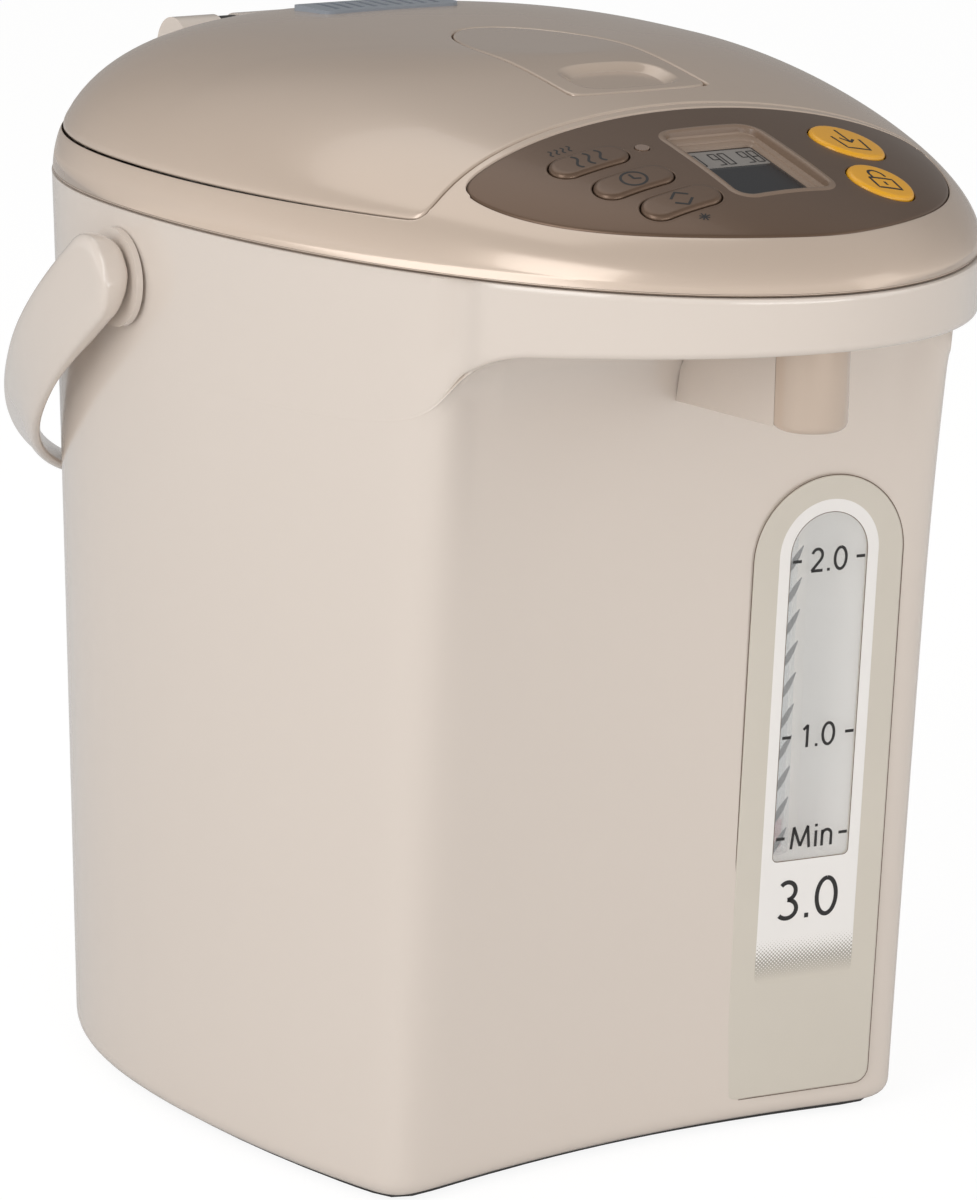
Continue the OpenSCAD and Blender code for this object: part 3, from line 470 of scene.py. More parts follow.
def round_corners(curve, passes):
    """Softens a closed curve, or values along one, by averaging neighbours."""
    for _ in range(passes):
        curve = 0.5 * curve + 0.25 * (np.roll(curve, 1, 0) + np.roll(curve, -1, 0))
    return curve


# A rounded rim in steps across it, and how far each step lies below the face, for a rim 1 mm wide.
EDGE_STEPS = np.array([0.0, 0.08, 0.2, 0.38, 0.62, 1.0])
EDGE_DROPS = 1 - np.sqrt(1 - (1 - EDGE_STEPS) ** 2)


def rim_rows(outline, step):
    """Rows of a rim that turns down in a quarter circle, from the outline to step beside it, and their drops."""
    return [offset_curve(outline, step * u) for u in EDGE_STEPS], list(abs(step) * EDGE_DROPS)


def sheet_rows(outer, inner, edge, rows):
    """Rows from one outline to another inside it, with both rims rounded, and their drops."""
    near, near_drops = rim_rows(outer, -edge)
    far, far_drops = rim_rows(inner, edge)
    between = [mix(near[-1], far[-1], t) for t in np.linspace(0, 1, rows)[1:-1]]
    return near + between + far[::-1], near_drops + [0.0] * len(between) + far_drops[::-1]


def fill_rows(outer, centre, edge, rows):
    """Rows from an outline, with its rim rounded where edge is given, nearly to a centre, and their drops."""
    near, drops = rim_rows(outer, -edge) if edge else ([outer], [0.0])
    between = [mix(near[-1], np.asarray(centre), t) for t in np.linspace(0, 1, rows + 1)[1:-1]]
    return near + between, drops + [0.0] * len(between)


def fan(grid, tip):
    """Points, quads and triangles of a closed grid whose last row meets in a tip."""
    rows, count = grid.shape[:2]
    last = (rows - 1) * count + np.arange(count)
    tris = np.stack([last, np.roll(last, -1), np.full(count, rows * count)], -1)
    return np.concatenate([grid.reshape(-1, 3), np.reshape(tip, (1, 3))]), rings_to_faces(rows, count), tris


def on_top(x, y, drop):
    """Points of the dome's surface, let down by drop."""
    return np.stack([x, y, dome_z(x, y) - drop], -1)


def dome_plate(name, outer, centre, material, body, depth, rows, raise_by=0.0, dish=None, cut=None):
    """A plate whose top follows the dome inside a closed outline. Its rim turns down in a quarter circle,
    then drops by depth, and the back turns in. Faces whose middles lie in the cut are left out."""
    curves, drops = fill_rows(outer, centre, 0.5, rows)
    pts = np.stack(curves + [np.broadcast_to(centre, outer.shape)])
    top = on_top(pts[..., 0], pts[..., 1], np.array(drops + [0.0])[:, None] - raise_by)
    if dish is not None:
        top[..., 2] -= dish(pts[..., 0], pts[..., 1])
    low = top[0] - [0, 0, depth]
    under = low.copy()
    under[:, :2] = offset_curve(low[:, :2], -1.6)
    verts, quads, tris = fan(np.stack([under, low, *top[:-1]]), top[-1, 0])
    if cut is not None:
        quads, tris = (faces[~cut(*verts[faces].mean(1)[:, :2].T)] for faces in (quads, tris))
    return new_piece(name, verts, quads, material, body, tris=tris)


# ---- Outlines, in millimetres ----

def turns(count):
    return np.linspace(0, 2 * np.pi, count, endpoint=False)


def lid_curve(grow, count):
    """The lid's outline, as evenly spaced points."""
    th = turns(count)
    r = lid_radius(th)
    return offset_curve(resample(round_corners(np.stack([r * np.cos(th), r * np.sin(th)], -1), 2), count), grow)


def panel_back(x):
    """How far back the panel's rear edge, a shallow bow, lies over x."""
    return -98.2 - 0.0016 * x * x


PANEL_HALF, PANEL_Y, PANEL_REACH, PANEL_N = 70.2, -105.9, 62.9, 1.75


def panel_curve(grow, count):
    """The panel's outline: a superellipse in front, a shallow bow behind and softened tips."""
    x = -PANEL_HALF * np.cos(np.linspace(0, np.pi, 400))
    bulge = np.maximum(0, 1 - (np.abs(x) / PANEL_HALF) ** PANEL_N) ** (1 / PANEL_N)
    front = np.stack([x, PANEL_Y - PANEL_REACH * bulge], -1)
    back = np.stack([x[::-1], panel_back(x[::-1])], -1)
    curve = resample(np.vstack([front, back]), 900)
    return offset_curve(resample(round_corners(curve, 240), count), grow)


LEVER_HALF = 21


def lever_curve(grow, count):
    """The release plate's outline: parallel sides, a bowed front and half an oval behind."""
    t = np.linspace(0, np.pi, 90)
    back = np.stack([LEVER_HALF * np.cos(t), -45 + 42.5 * np.sin(t)], -1)
    x = np.linspace(-LEVER_HALF, LEVER_HALF, 40)
    front = np.stack([x, -84 + 2.6 * (x / LEVER_HALF) ** 2], -1)
    curve = resample(np.vstack([back, front]), count)
    return offset_curve(resample(round_corners(curve, 16), count), grow)


# ---- Sizes and colours that a user would change ----

class PotSettings(bpy.types.PropertyGroup):
    shell: FloatVectorProperty(name="Shell", description="Colour of the shell, lid and handle", subtype="COLOR",
                               size=4, min=0, max=1, default=linear((219, 208, 198)))
    top: FloatVectorProperty(name="Top", description="Colour of the lid and the shoulder", subtype="COLOR",
                             size=4, min=0, max=1, default=linear((204, 186, 170)))
    panel: FloatVectorProperty(name="Panel", description="Colour of the control panel", subtype="COLOR",
                               size=4, min=0, max=1, default=linear((106, 85, 69)))
    keys: FloatVectorProperty(name="Round keys", description="Colour of the two round keys", subtype="COLOR",
                              size=4, min=0, max=1, default=linear((233, 168, 22)))
    plate: FloatVectorProperty(name="Gauge plate", description="Colour of the gauge plate", subtype="COLOR",
                               size=4, min=0, max=1, default=linear((210, 203, 191)))
    gloss: FloatProperty(name="Shell roughness", description="Roughness of the shell's surface",
                         min=0.02, max=0.6, default=0.17)
    lamp_power: FloatProperty(name="Key lamp", description="Power of the main soft lamp", subtype="POWER",
                              min=0, max=200, default=9.0)
    sky_power: FloatProperty(name="Sky", description="Strength of the plain sky", min=0, max=4, default=1.2)


FIN = {}

# Finishes of one colour: their maker, name, colour (a setting, or 0 to 255) and the maker's other values.
PLAIN_FINISHES = {
    "top": (gloss_plastic, "top_gloss", "top", {"rough": 0.22, "coat": 0.35, "pearl": 0.25}),
    "panel": (gloss_plastic, "panel_gloss", "panel", {"rough": 0.3, "coat": 0.08, "fleck": 0.14, "pearl": 0.5}),
    "keys": (gloss_plastic, "key_yellow", "keys", {"rough": 0.3, "coat": 0.15}),
    "plate": (satin_plastic, "gauge_plate_satin", "plate", {"rough": 0.35}),
    "white": (satin_plastic, "white_moulding", (236, 234, 230), {}),
    "dark": (satin_plastic, "dark_moulding", (44, 43, 43), {"rough": 0.5, "grain": 0.4}),
    "bezel": (satin_plastic, "tray_satin", (150, 130, 114), {"rough": 0.38}),
    "rim": (satin_plastic, "rim_satin", (128, 108, 92), {"rough": 0.3}),
    "lcd": (gloss_plastic, "lcd_grey", (136, 132, 128), {"rough": 0.3, "coat": 0.0, "peel": 0.0}),
    "lcd_dark": (gloss_plastic, "lcd_blue", (20, 24, 30), {"rough": 0.3, "coat": 0.0, "peel": 0.0}),
    "ink": (satin_plastic, "print_ink", (34, 32, 32), {"rough": 0.5}),
    # Painted shade: a dark sheet that stands in for the shadow in narrow gaps.
    "gap": (satin_plastic, "gap_shadow", (112, 96, 84), {"rough": 0.6}),
    # The gauge channel's white, with a painted glow.
    "channel": (painted_glow_plastic, "channel_white", (214, 211, 207), {}),
    "hatch": (satin_plastic, "hatch_grey", (98, 98, 98), {"rough": 0.5}),
    "display": (gloss_plastic, "display_glass", (30, 31, 34), {"rough": 0.2, "coat": 0.3, "peel": 0.0}),
    "amber": (gloss_plastic, "lamp_lens", (122, 100, 85), {"rough": 0.15}),
    "board": (satin_plastic, "board_green", (34, 92, 56), {"rough": 0.45}),
    "tan": (satin_plastic, "impeller_tan", (186, 158, 120), {}),
    "red": (gloss_plastic, "float_red", (200, 54, 46), {"rough": 0.25}),
    "vent": (satin_plastic, "vent_grey", (142, 150, 160), {"rough": 0.3}),
    "rubber": (satin_plastic, "foot_rubber", (40, 40, 41), {"rough": 0.75, "grain": 0.6}),
    "gasket": (satin_plastic, "gasket_rubber", (196, 194, 190), {"rough": 0.6}),
}


def make_finishes(s):
    """Fills FIN from the settings."""
    for key, (make, name, colour, values) in PLAIN_FINISHES.items():
        rgba = tuple(getattr(s, colour)) if isinstance(colour, str) else linear(colour)
        FIN[key] = make(name, rgba, **values)
    FIN["shell"] = gloss_plastic("shell_gloss", tuple(s.shell), s.gloss)
    FIN["lever"] = gloss_plastic("lever_gloss", tinted(s.top, 0.92), 0.22, coat=0.35, pearl=0.25)
    FIN["scale"] = scale_sheet("scale_white", linear((240, 237, 234)), tuple(s.plate))
    FIN["window"] = clear_plastic("gauge_window_clear")
    FIN["tube"] = clear_plastic("gauge_tube_clear", (0.86, 0.92, 0.95, 1.0), 0.3)
    FIN["pin"] = turned_metal("pin_steel")
    FIN["vessel"] = spun_steel("vessel_steel")
    FIN["heater"] = turned_metal("heater_alloy", (0.78, 0.78, 0.79, 1.0), 0.4)


SLOT_FINISH = {
    "champagne_gloss": "shell", "plate_gloss": "lever", "plate_satin": "plate", "window_clear": "window",
    "tube_clear": "tube", "white_moulding": "white", "dark_moulding": "dark", "taupe_panel": "panel",
    "yellow_gloss": "keys", "display_glass": "display", "amber_lens": "amber", "board_green": "board",
    "pin_steel": "pin", "vessel_steel": "vessel", "heater_alloy": "heater", "impeller_tan": "tan",
    "float_red": "red", "vent_grey": "vent", "foot_rubber": "rubber", "gasket_rubber": "gasket",
}
# Finishes of single construction solids; the gauge channel's has a painted glow.
OWN_FINISH = {"display_bezel": "bezel", "gauge_channel": "channel", "spout_nozzle": "top"}


class POT_OT_finishes(bpy.types.Operator):
    """Gives every construction solid its finish and smooth shading."""

    bl_idname = "pot.finishes"
    bl_label = "Finishes"

    def execute(self, context):
        make_finishes(context.scene.pot)
        slots = {p["node"]: p["material_slot"] for p in frame["record"]["subparts"]}
        for name, node in frame["nodes"].items():
            mesh = node.data
            mesh.materials.clear()
            mesh.materials.append(FIN[OWN_FINISH.get(name, SLOT_FINISH[slots[name]])])
            mesh.polygons.foreach_set("use_smooth", np.ones(len(mesh.polygons), bool))
            weld = node.modifiers.new("weld", "WELD")
            weld.merge_threshold = 2e-6
            split = node.modifiers.new("crisp_edges", "EDGE_SPLIT")
            split.split_angle = np.radians(32)
        return {"FINISHED"}


# ---- Panel frames ----

KEY_GAP, LENS_GAP, KEY_PROUD = 0.3, 0.08, 0.85


def rounded_box(half_u, half_v, corner, count):
    """A closed rectangle with round corners about the origin."""
    q = np.radians(np.linspace(0, 90, 30))
    turn = np.concatenate([q, q + np.pi / 2, q + np.pi, q + 1.5 * np.pi])
    side_u = np.repeat([1, -1, -1, 1], 30) * (half_u - corner)
    side_v = np.repeat([1, 1, -1, -1], 30) * (half_v - corner)
    return resample(np.stack([side_u + corner * np.cos(turn), side_v + corner * np.sin(turn)], -1), count)


class Key:
    """A rounded rectangle of half sizes and corner radius on the dome at a plan point, in its own tilted frame."""

    def __init__(self, x, y, half_u, half_v, corner, body=None):
        self.at, self.half, self.corner, self.body = (x, y), (half_u, half_v), corner, body
        gx = (dome_z(x + 1, y) - dome_z(x - 1, y)) / 2
        gy = (dome_z(x, y + 1) - dome_z(x, y - 1)) / 2
        steep = np.sqrt(gx * gx + gy * gy + 1)
        self.a, self.b = np.arcsin(gy / steep), np.arctan(-gx)
        self.up = np.array([-gx, -gy, 1.0]) / steep if body else np.array([0, 0, 1.0])

    def place(self, u, v, lift):
        """Points of the frame laid on the dome, raised by lift along the way the key moves, or upright where
        nothing moves."""
        u, v, lift = spread(u, v, lift)
        x = self.at[0] + u * np.cos(self.b) + v * np.sin(self.b) * np.sin(self.a)
        y = self.at[1] + v * np.cos(self.a)
        return np.stack([x, y, dome_z(x, y) - 0.1], -1) + lift[..., None] * self.up

    def inverse(self, x, y):
        """The frame's u and v of plan points."""
        v = (y - self.at[1]) / np.cos(self.a)
        return (x - self.at[0] - v * np.sin(self.b) * np.sin(self.a)) / np.cos(self.b), v

    def distance(self, u, v):
        """Distance outside the outline; negative inside."""
        du, dv = np.abs(u) - self.half[0] + self.corner, np.abs(v) - self.half[1] + self.corner
        return np.hypot(np.maximum(du, 0), np.maximum(dv, 0)) + np.minimum(np.maximum(du, dv), 0) - self.corner

    def outline(self, count=160):
        return rounded_box(*self.half, self.corner, count)


# Half length, half width and corner radius of the three long keys.
PILL = (11, 4.8, 4.79)
DISPLAY_X, DISPLAY_Y = -1.0, -130.4
KEYS = {
    "reboil": Key(-39.6, -117.6, *PILL, "reboil"), "timer": Key(-35.6, -131.6, *PILL, "timer"),
    "select": Key(-30.4, -144.8, *PILL, "select"), "pour": Key(36.4, -121.4, 10.2, 10.2, 10.19, "pour"),
    "lock": Key(29.6, -145.2, 9, 9, 8.99, "lock"), "lens": Key(-23.8, -117.6, 1.8, 1.8, 1.79),
    "display": Key(DISPLAY_X, DISPLAY_Y, 13.75, 19, 4.0),
}
BOARD_TILT, BOARD_DEEP = np.radians(14.5), 18


def on_board(u, v, lift):
    """Points of the tilted board under the panel, where the display lies."""
    u, v, lift = spread(u, v, lift)
    foot = float(dome_z(DISPLAY_X, DISPLAY_Y)) - BOARD_DEEP
    return np.stack([u, DISPLAY_Y + v * np.cos(BOARD_TILT) - lift * np.sin(BOARD_TILT),
                     foot + v * np.sin(BOARD_TILT) + lift * np.cos(BOARD_TILT)], -1)


# ---- Gauge frame ----

# The plate's foot, its turn about the upright, its rise, how it leans over that rise and its length.
GAUGE_FOOT, GAUGE_TURN, GAUGE_RISE = np.array([48.8, -97.7, 9.0]), np.radians(7.2), 174
GAUGE_LEAN = np.arctan(8.8 / GAUGE_RISE)
GAUGE_L = GAUGE_RISE / np.cos(GAUGE_LEAN)
# The sides and the front of the channel behind the window.
CHANNEL_X, CHANNEL_Y = (34.4, 57.6), -82.5


def on_gauge(u, v, lift):
    """Points u across, v up and lift out of the gauge plate, whose plane turns and leans with the casing's front."""
    u, v, lift = spread(u, v, lift)
    y = -lift * np.cos(GAUGE_LEAN) - v * np.sin(GAUGE_LEAN)
    z = -lift * np.sin(GAUGE_LEAN) + v * np.cos(GAUGE_LEAN)
    return GAUGE_FOOT + np.stack([u * np.cos(GAUGE_TURN) + y * np.sin(GAUGE_TURN),
                                  -u * np.sin(GAUGE_TURN) + y * np.cos(GAUGE_TURN), z], -1)


def arch_distance(u, v, width, low, high):
    """Distance outside (positive) or inside an arch with a half-round top and a square foot."""
    top = np.hypot(u, v - (high - width / 2)) - width / 2
    rest = np.maximum(np.abs(u) - width / 2, low - v)
    return np.where(v > high - width / 2, top, rest)


def arch(width, low, high, corner, count=320, top=None):
    """Closed outline with a half-round top, or rounded upper corners where top is given, and rounded lower
    corners."""
    q, h = np.radians(np.linspace(0, 90, 40)), np.linspace(0, 1, 60)[1:-1]
    top = width / 2 if top is None else top
    half = [(width / 2 - corner + corner * np.sin(q), low + corner - corner * np.cos(q)),
            (np.full(len(h), width / 2), mix(low + corner, high - top, h)),
            (width / 2 - top + top * np.cos(q), high - top + top * np.sin(q))]
    right = np.concatenate([np.stack(p, -1) for p in half])
    left = right[::-1] * [-1, 1]
    return resample(np.concatenate([[[0, low]], right, [[0, high]], left]), count)


def face_ring(name, outer, inner, lift, edge, material, place, rows, depth):
    """A sheet between two outlines. Both rims are rounded and turn back into the face."""
    curves, drops = sheet_rows(outer, inner, edge, rows)
    pts = np.stack([outer, *curves, inner])
    verts = place(pts[..., 0], pts[..., 1], lift - np.array([depth, *drops, depth])[:, None])
    return new_piece(name, verts, rings_to_faces(len(pts), len(outer)), material, "pot")


def face_fill(name, outer, centre, lift, material, place, rows=6, edge=0.0, depth=0.0, body="pot"):
    """A filled sheet inside one outline, with a rounded rim where edge is given and sides where depth is."""
    curves, drops = fill_rows(outer, centre, edge, rows)
    if depth:
        curves, drops = [outer, *curves], [depth, *drops]
    pts = np.stack(curves)
    grid = place(pts[..., 0], pts[..., 1], lift - np.array(drops)[:, None])
    verts, quads, tris = fan(grid, place(*centre, lift))
    return new_piece(name, verts, quads, material, body, tris=tris)


def face_profile(name, outline, profile, material, place):
    """A strip round an outline; each row of the profile is an outward step and a lift."""
    curves = np.stack([offset_curve(outline, step) for step, _ in profile])
    lifts = np.array([lift for _, lift in profile])[:, None]
    return new_piece(name, place(curves[..., 0], curves[..., 1], lifts), rings_to_faces(len(curves), len(outline)),
                     material, "pot")


# ---- Printed marks: ribbons along drawn strokes ----

def arc(cx, cy, rx, ry, start, end, count=28):
    a = np.radians(np.linspace(start, end, count))
    return np.stack([cx + rx * np.cos(a), cy + ry * np.sin(a)], -1)


def path(*points, count=6):
    """A polyline with extra points on each leg."""
    p = np.array(points, float)
    t = np.linspace(0, len(p) - 1, (len(p) - 1) * count + 1)
    return np.stack([np.interp(t, np.arange(len(p)), p[:, k]) for k in (0, 1)], -1)


GLYPHS = {
    "0": (0.62, [arc(0.31, 0.5, 0.26, 0.46, 90, 450, 48)]),
    "1": (0.5, [path((0.1, 0.76), (0.3, 0.95)), path((0.29, 0.97), (0.29, 0.0))]),
    "2": (0.6, [np.concatenate([arc(0.29, 0.7, 0.23, 0.26, 165, -38, 30), path((0.45, 0.5), (0.05, 0.045))]),
                path((0.04, 0.045), (0.56, 0.045))]),
    "3": (0.6, [arc(0.26, 0.735, 0.22, 0.225, 140, -88), arc(0.26, 0.275, 0.26, 0.235, 88, -140)]),
    ".": (0.26, [path((0.13, 0.0), (0.13, 0.12))]),
    "M": (0.98, [path((0.06, 0.0), (0.16, 0.95)), path((0.15, 0.96), (0.48, 0.1)), path((0.48, 0.1), (0.81, 0.96)),
                 path((0.8, 0.95), (0.9, 0.0))]),
    "i": (0.24, [path((0.12, 0.0), (0.12, 0.7)), path((0.12, 0.87), (0.12, 0.99))]),
    "n": (0.58, [path((0.08, 0.0), (0.08, 0.7)), np.concatenate([arc(0.29, 0.46, 0.21, 0.23, 180, 0),
                                                              path((0.5, 0.44), (0.5, 0.0))])]),
}


def strokes_of(text, height, centre, gap=0.1):
    """The strokes of a short text, centred on a point."""
    wide = sum(GLYPHS[c][0] for c in text) + gap * (len(text) - 1)
    at, out = -wide / 2, []
    for c in text:
        for s in GLYPHS[c][1]:
            out.append((s + [at, -0.5]) * height + centre)
        at += GLYPHS[c][0] + gap
    return out


def ribbons(name, strokes, width, lift, material, place, body="pot", closed=False):
    """Flat ribbons of one width along a list of strokes."""
    verts, quads, base = [], [], 0
    for s in strokes:
        d = np.roll(s, -1, 0) - np.roll(s, 1, 0) if closed else np.gradient(s, axis=0)
        n = np.stack([-d[:, 1], d[:, 0]], -1)
        n /= np.linalg.norm(n, axis=1, keepdims=True) + 1e-12
        rows = np.stack([s + n * width / 2, s - n * width / 2])
        verts.append(place(rows[..., 0], rows[..., 1], lift).reshape(-1, 3))
        quads.append(rings_to_faces(2, len(s), closed)[:, ::-1] + base)
        base += 2 * len(s)
    return new_piece(name, np.concatenate(verts), np.concatenate(quads), material, body)


def wave(x0, y0, height, sway, count=24):
    """An upright wavy stroke."""
    t = np.linspace(-0.5, 0.5, count)
    return np.stack([x0 + sway * np.sin(2 * np.pi * t), y0 + height * t], -1)


SYMBOLS = {
    "reboil": [wave(x, 0, 6.2, 0.8) for x in (-3.4, 0, 3.4)],
    "timer": [arc(0, 0, 3.3, 3.3, 90, 450, 40), path((0, 2.3), (0, 0), (1.7, -0.8))],
    "select": [path((-2.6, 0.9), (0, 3.1), (2.6, 0.9)), path((-2.6, -0.9), (0, -3.1), (2.6, -0.9))],
    "pour": [path((-4.4, 1.4), (-3.6, -5.6), (3.6, -5.6), (4.4, 1.4)), path((0, 6.6), (0, -1.6)),
             path((-2.2, 0.8), (0, -1.6), (2.2, 0.8))],
    "lock": [path((-3.6, 0.6), (-3.6, -4.6), (3.6, -4.6), (3.6, 0.6), (-3.6, 0.6)),
             np.concatenate([path((-2.3, 0.6), (-2.3, 2.4)), arc(0, 2.4, 2.3, 2.5, 180, 0)[1:],
                             path((2.3, 2.4), (2.3, 1.9))[1:]]),
             path((0, -1.2), (0, -3.0))],
}
SEGMENTS = {"a": ((0, 1), (0.5, 1)), "b": ((0.5, 1), (0.5, 0.5)), "c": ((0.5, 0.5), (0.5, 0)),
            "d": ((0, 0), (0.5, 0)), "e": ((0, 0.5), (0, 0)), "f": ((0, 1), (0, 0.5)), "g": ((0, 0.5), (0.5, 0.5))}
LCD = {"0": "abcdef", "8": "abcdefg", "9": "abcdfg"}
DIGIT_SIZE, DIGITS_AT, DIGIT_STEP = [3.8, 6.4], (-11.0, 8.9), 2.95


class POT_OT_keys(bpy.types.Operator):
    """The five keys with their symbols, the lips of their openings, the lamp and the display."""

    bl_idname = "pot.keys"
    bl_label = "Keys and display"

    def execute(self, context):
        # Each row is a step outwards and a lift.
        lip = [(1.3, -0.03), (1.05, 0.02), (0.62, 0.02), (0.5, 0.0), (0.38, -0.1), (0.31, -0.24), (KEY_GAP, -0.4),
               (KEY_GAP, -2.4)]
        for name, key in KEYS.items():
            if name == "display":
                continue
            closer = 0.0 if key.body else KEY_GAP - LENS_GAP
            face_profile(name + "_lip", key.outline(), [(step - closer, lift) for step, lift in lip], FIN["panel"],
                         key.place)
            if not key.body:
                face_fill("lamp_lens", key.outline(), (0, 0), 0.2, FIN["amber"], key.place, edge=0.5, depth=2.0)
                continue
            round_key = name in ("pour", "lock")
            top = face_fill(name + "_key", key.outline(), (0, 0), KEY_PROUD, FIN["keys" if round_key else "panel"],
                            key.place, rows=14, edge=1.15, depth=3.2, body=key.body)
            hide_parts(name + "_button")
            ribbons(name + "_symbol", SYMBOLS[name], 0.8 if round_key else 0.7, KEY_PROUD + 0.03, FIN["ink"],
                    key.place, body=key.body)
        reboil, select = KEYS["reboil"], KEYS["select"]
        ribbons("long_boil_mark", [wave(x - 1.0, 8.6, 3.0, 0.45) for x in (-4.5, -2.7, -0.9, 0.9)], 0.5, 0.03,
                FIN["ink"], reboil.place)
        spark = [path((1.0 + 1.6 * c, -8.4 + 1.6 * d), (1.0 - 1.6 * c, -8.4 - 1.6 * d))
                 for c, d in ((1, 0), (0, 1), (0.6, 0.6), (0.6, -0.6))]
        ribbons("cleaning_mark", spark, 0.42, 0.03, FIN["ink"], select.place)

        screen = KEYS["display"]
        rim = [(2.0, -0.04), (1.75, 0.03), (1.3, 0.22), (0.8, 0.28), (0.35, 0.16), (0.08, -0.12), (0.0, -0.5),
               (0.0, -2.6)]
        face_profile("display_rim", screen.outline(240), rim, FIN["rim"], screen.place)

        def box(u0, u1, v0, v1, corner):
            """A rounded rectangle between two upright and two level lines."""
            return rounded_box((u1 - u0) / 2, (v1 - v0) / 2, corner, 240) + [(u0 + u1) / 2, (v0 + v1) / 2]

        # The tray goes down from the opening in steps to the glass, off its middle.
        mouth, glass = box(-15.1, 13.1, -14.8, 23.2, 4.2), box(-12.0, 9.9, -13.6, 17.8, 0.9)
        steps = ((0.0, 15.6), (0.1, 14.9), (0.2, 14.75), (0.52, 14.6), (0.56, 14.15), (0.9, 14.0), (1.0, 13.4),
                 (1.02, 12.6))
        rows = np.stack([mix(mouth, glass, t) for t, _ in steps])
        verts = on_board(rows[..., 0], rows[..., 1], np.array([height for _, height in steps])[:, None])
        tray = new_piece("display_tray", verts, rings_to_faces(len(steps), len(mouth)), FIN["bezel"], "pot")
        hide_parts("display_bezel")
        for name, shape, lift, finish in (("display_border", glass, 13.42, "display"),
                                          ("display_band", box(-11.4, 9.2, 7.4, 17.0, 0.3), 13.46, "lcd"),
                                          ("display_field", box(-11.0, 8.8, -13.0, 6.6, 0.3), 13.46, "lcd_dark")):
            face_fill(name, shape, shape.mean(0), lift, FIN[finish], on_board, rows=2)
        digits = []
        for k, digit in enumerate("0 90 98"):
            for part in LCD.get(digit, ""):
                ends = np.array(SEGMENTS[part]) * DIGIT_SIZE + [DIGITS_AT[0] + DIGIT_STEP * k, DIGITS_AT[1]]
                digits.append(path(*ends, count=2))
        ribbons("display_digits", digits, 0.48, 13.49, FIN["ink"], on_board)
        return {"FINISHED"}


class POT_OT_gauge(bpy.types.Operator):
    """The gauge plate, the white scale sheet with its window, the printed marks, and ribbons of painted shade in the
    plate's gap and at the window's edge.
    """

    bl_idname = "pot.gauge"
    bl_label = "Gauge"

    def execute(self, context):
        outer = arch(44.6, 0, GAUGE_L, 4.0)
        window = arch(29.6, 33.0, 167.8, 2.0)
        clear = arch(23.2, 67.4, 164.4, 1.6)
        plate = face_ring("gauge_plate_skin", outer, offset_curve(clear, 0.2), 0.05, 0.45, FIN["plate"], on_gauge,
                          rows=24, depth=1.5)
        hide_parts("gauge_plate")
        face_ring("scale_sheet", window, clear, 0.085, 0.03, FIN["scale"], on_gauge, rows=30, depth=0.03)
        # Painted shade: dark ribbons stand in for the shadow in the gap round the plate and at the window's inner
        # edge.
        ribbons("gauge_gap", [offset_curve(outer, 0.15)], 0.26, -0.12, FIN["gap"], on_gauge, closed=True)
        ribbons("window_line", [offset_curve(clear, -0.12)], 0.2, 0.03, FIN["gap"], on_gauge, closed=True)
        marks = []
        for text, v in (("2.0", 151.4), ("1.0", 102.6), ("Min", 74.0)):
            marks += strokes_of(text, 6.5, (0.0, v))
            marks += [path((side * 8.2, v), (side * 10.8, v)) for side in (-1, 1)]
        ribbons("scale_marks", marks, 0.84, 0.11, FIN["ink"], on_gauge)
        ribbons("scale_total", strokes_of("3.0", 11.2, (0.0, 56.2), 0.08), 1.25, 0.13, FIN["ink"], on_gauge)
        # The reveal runs back from the window, and closes in on the channel.
        tunnel = arch(26.6, 65.6, 166.2, 2.0)
        front = on_gauge(tunnel[:, 0], tunnel[:, 1], -1.9)
        deep = np.stack([np.clip(front[:, 0], *CHANNEL_X), np.full(len(front), CHANNEL_Y), front[:, 2]], -1)
        reveal = np.stack([mix(front, deep, t) for t in (0, 0.3, 0.6, 1)])
        # The reveal takes the channel's finish, with its painted glow.
        new_piece("gauge_reveal", reveal, rings_to_faces(4, len(tunnel)), FIN["channel"], "pot")
        ticks = [path((-11.4, v), (-6.6, v + 8.2)) for v in np.arange(68.0, 158.0, 8.75)]
        blade = 0.3 + 1.5 * np.sin(np.pi * np.linspace(0, 1, len(ticks[0])))[:, None]
        ribbons("float_hatch", ticks, blade, -2.3, FIN["hatch"], on_gauge)
        return {"FINISHED"}


# ---- Casing ----

# The recess: height of its ceiling, radius of its cove, its half width and the radius of its upper corners.
CEILING, COVE, RECESS_HALF, RECESS_CORNER = 229.5, 21.0, 80.0, 26.0
# The head's lower edge is HEAD_EDGE in radius over the recess and SOFT_EDGE beside it; RISE is the ceiling's slope.
CASING_BOTTOM, WALL, HEAD_EDGE, SOFT_EDGE, RISE = 2.0, 3.2, 2.2, 12.0, 0.08
# Height where the foot's rounded edge ends, rows of that edge, and height where the sides start to flare.
FOOT_TOP, FOOT_ROWS, FLARE_Z = 7.5, 8, 140
# The back wall's openings: the slots' middle, half height and places, the inlet's middle and half sizes, and the
# half sizes of the wall's share round one slot and round the inlet.
SLOT_Z, SLOT_HALF, SLOT_X = 22.0, 9.0, [side * (26 + 5 * k) for side in (-1, 1) for k in range(7)]
INLET_Z, INLET_HALF = 30.0, (17.3, 11.3)
SLOT_SHARE, INLET_SHARE = (2.5, 11.0), (21.5, 15.0)


def recess_top(x):
    """Height of the recess over x: level, with a rounded drop at each end that flattens out instead of ending
    upright."""
    q = np.maximum(0, np.abs(x) - RECESS_HALF + RECESS_CORNER) / RECESS_CORNER
    q = q / (1 + (q / 0.985) ** 8) ** 0.125
    return CEILING - RECESS_CORNER + RECESS_CORNER * np.sqrt(np.maximum(0, 1 - q * q))


def foot_plan(th):
    return soft_min(plan(th, FOOT, FOOT_N), front_face(th, 98.3, 94.0, 10.8), 28.7)


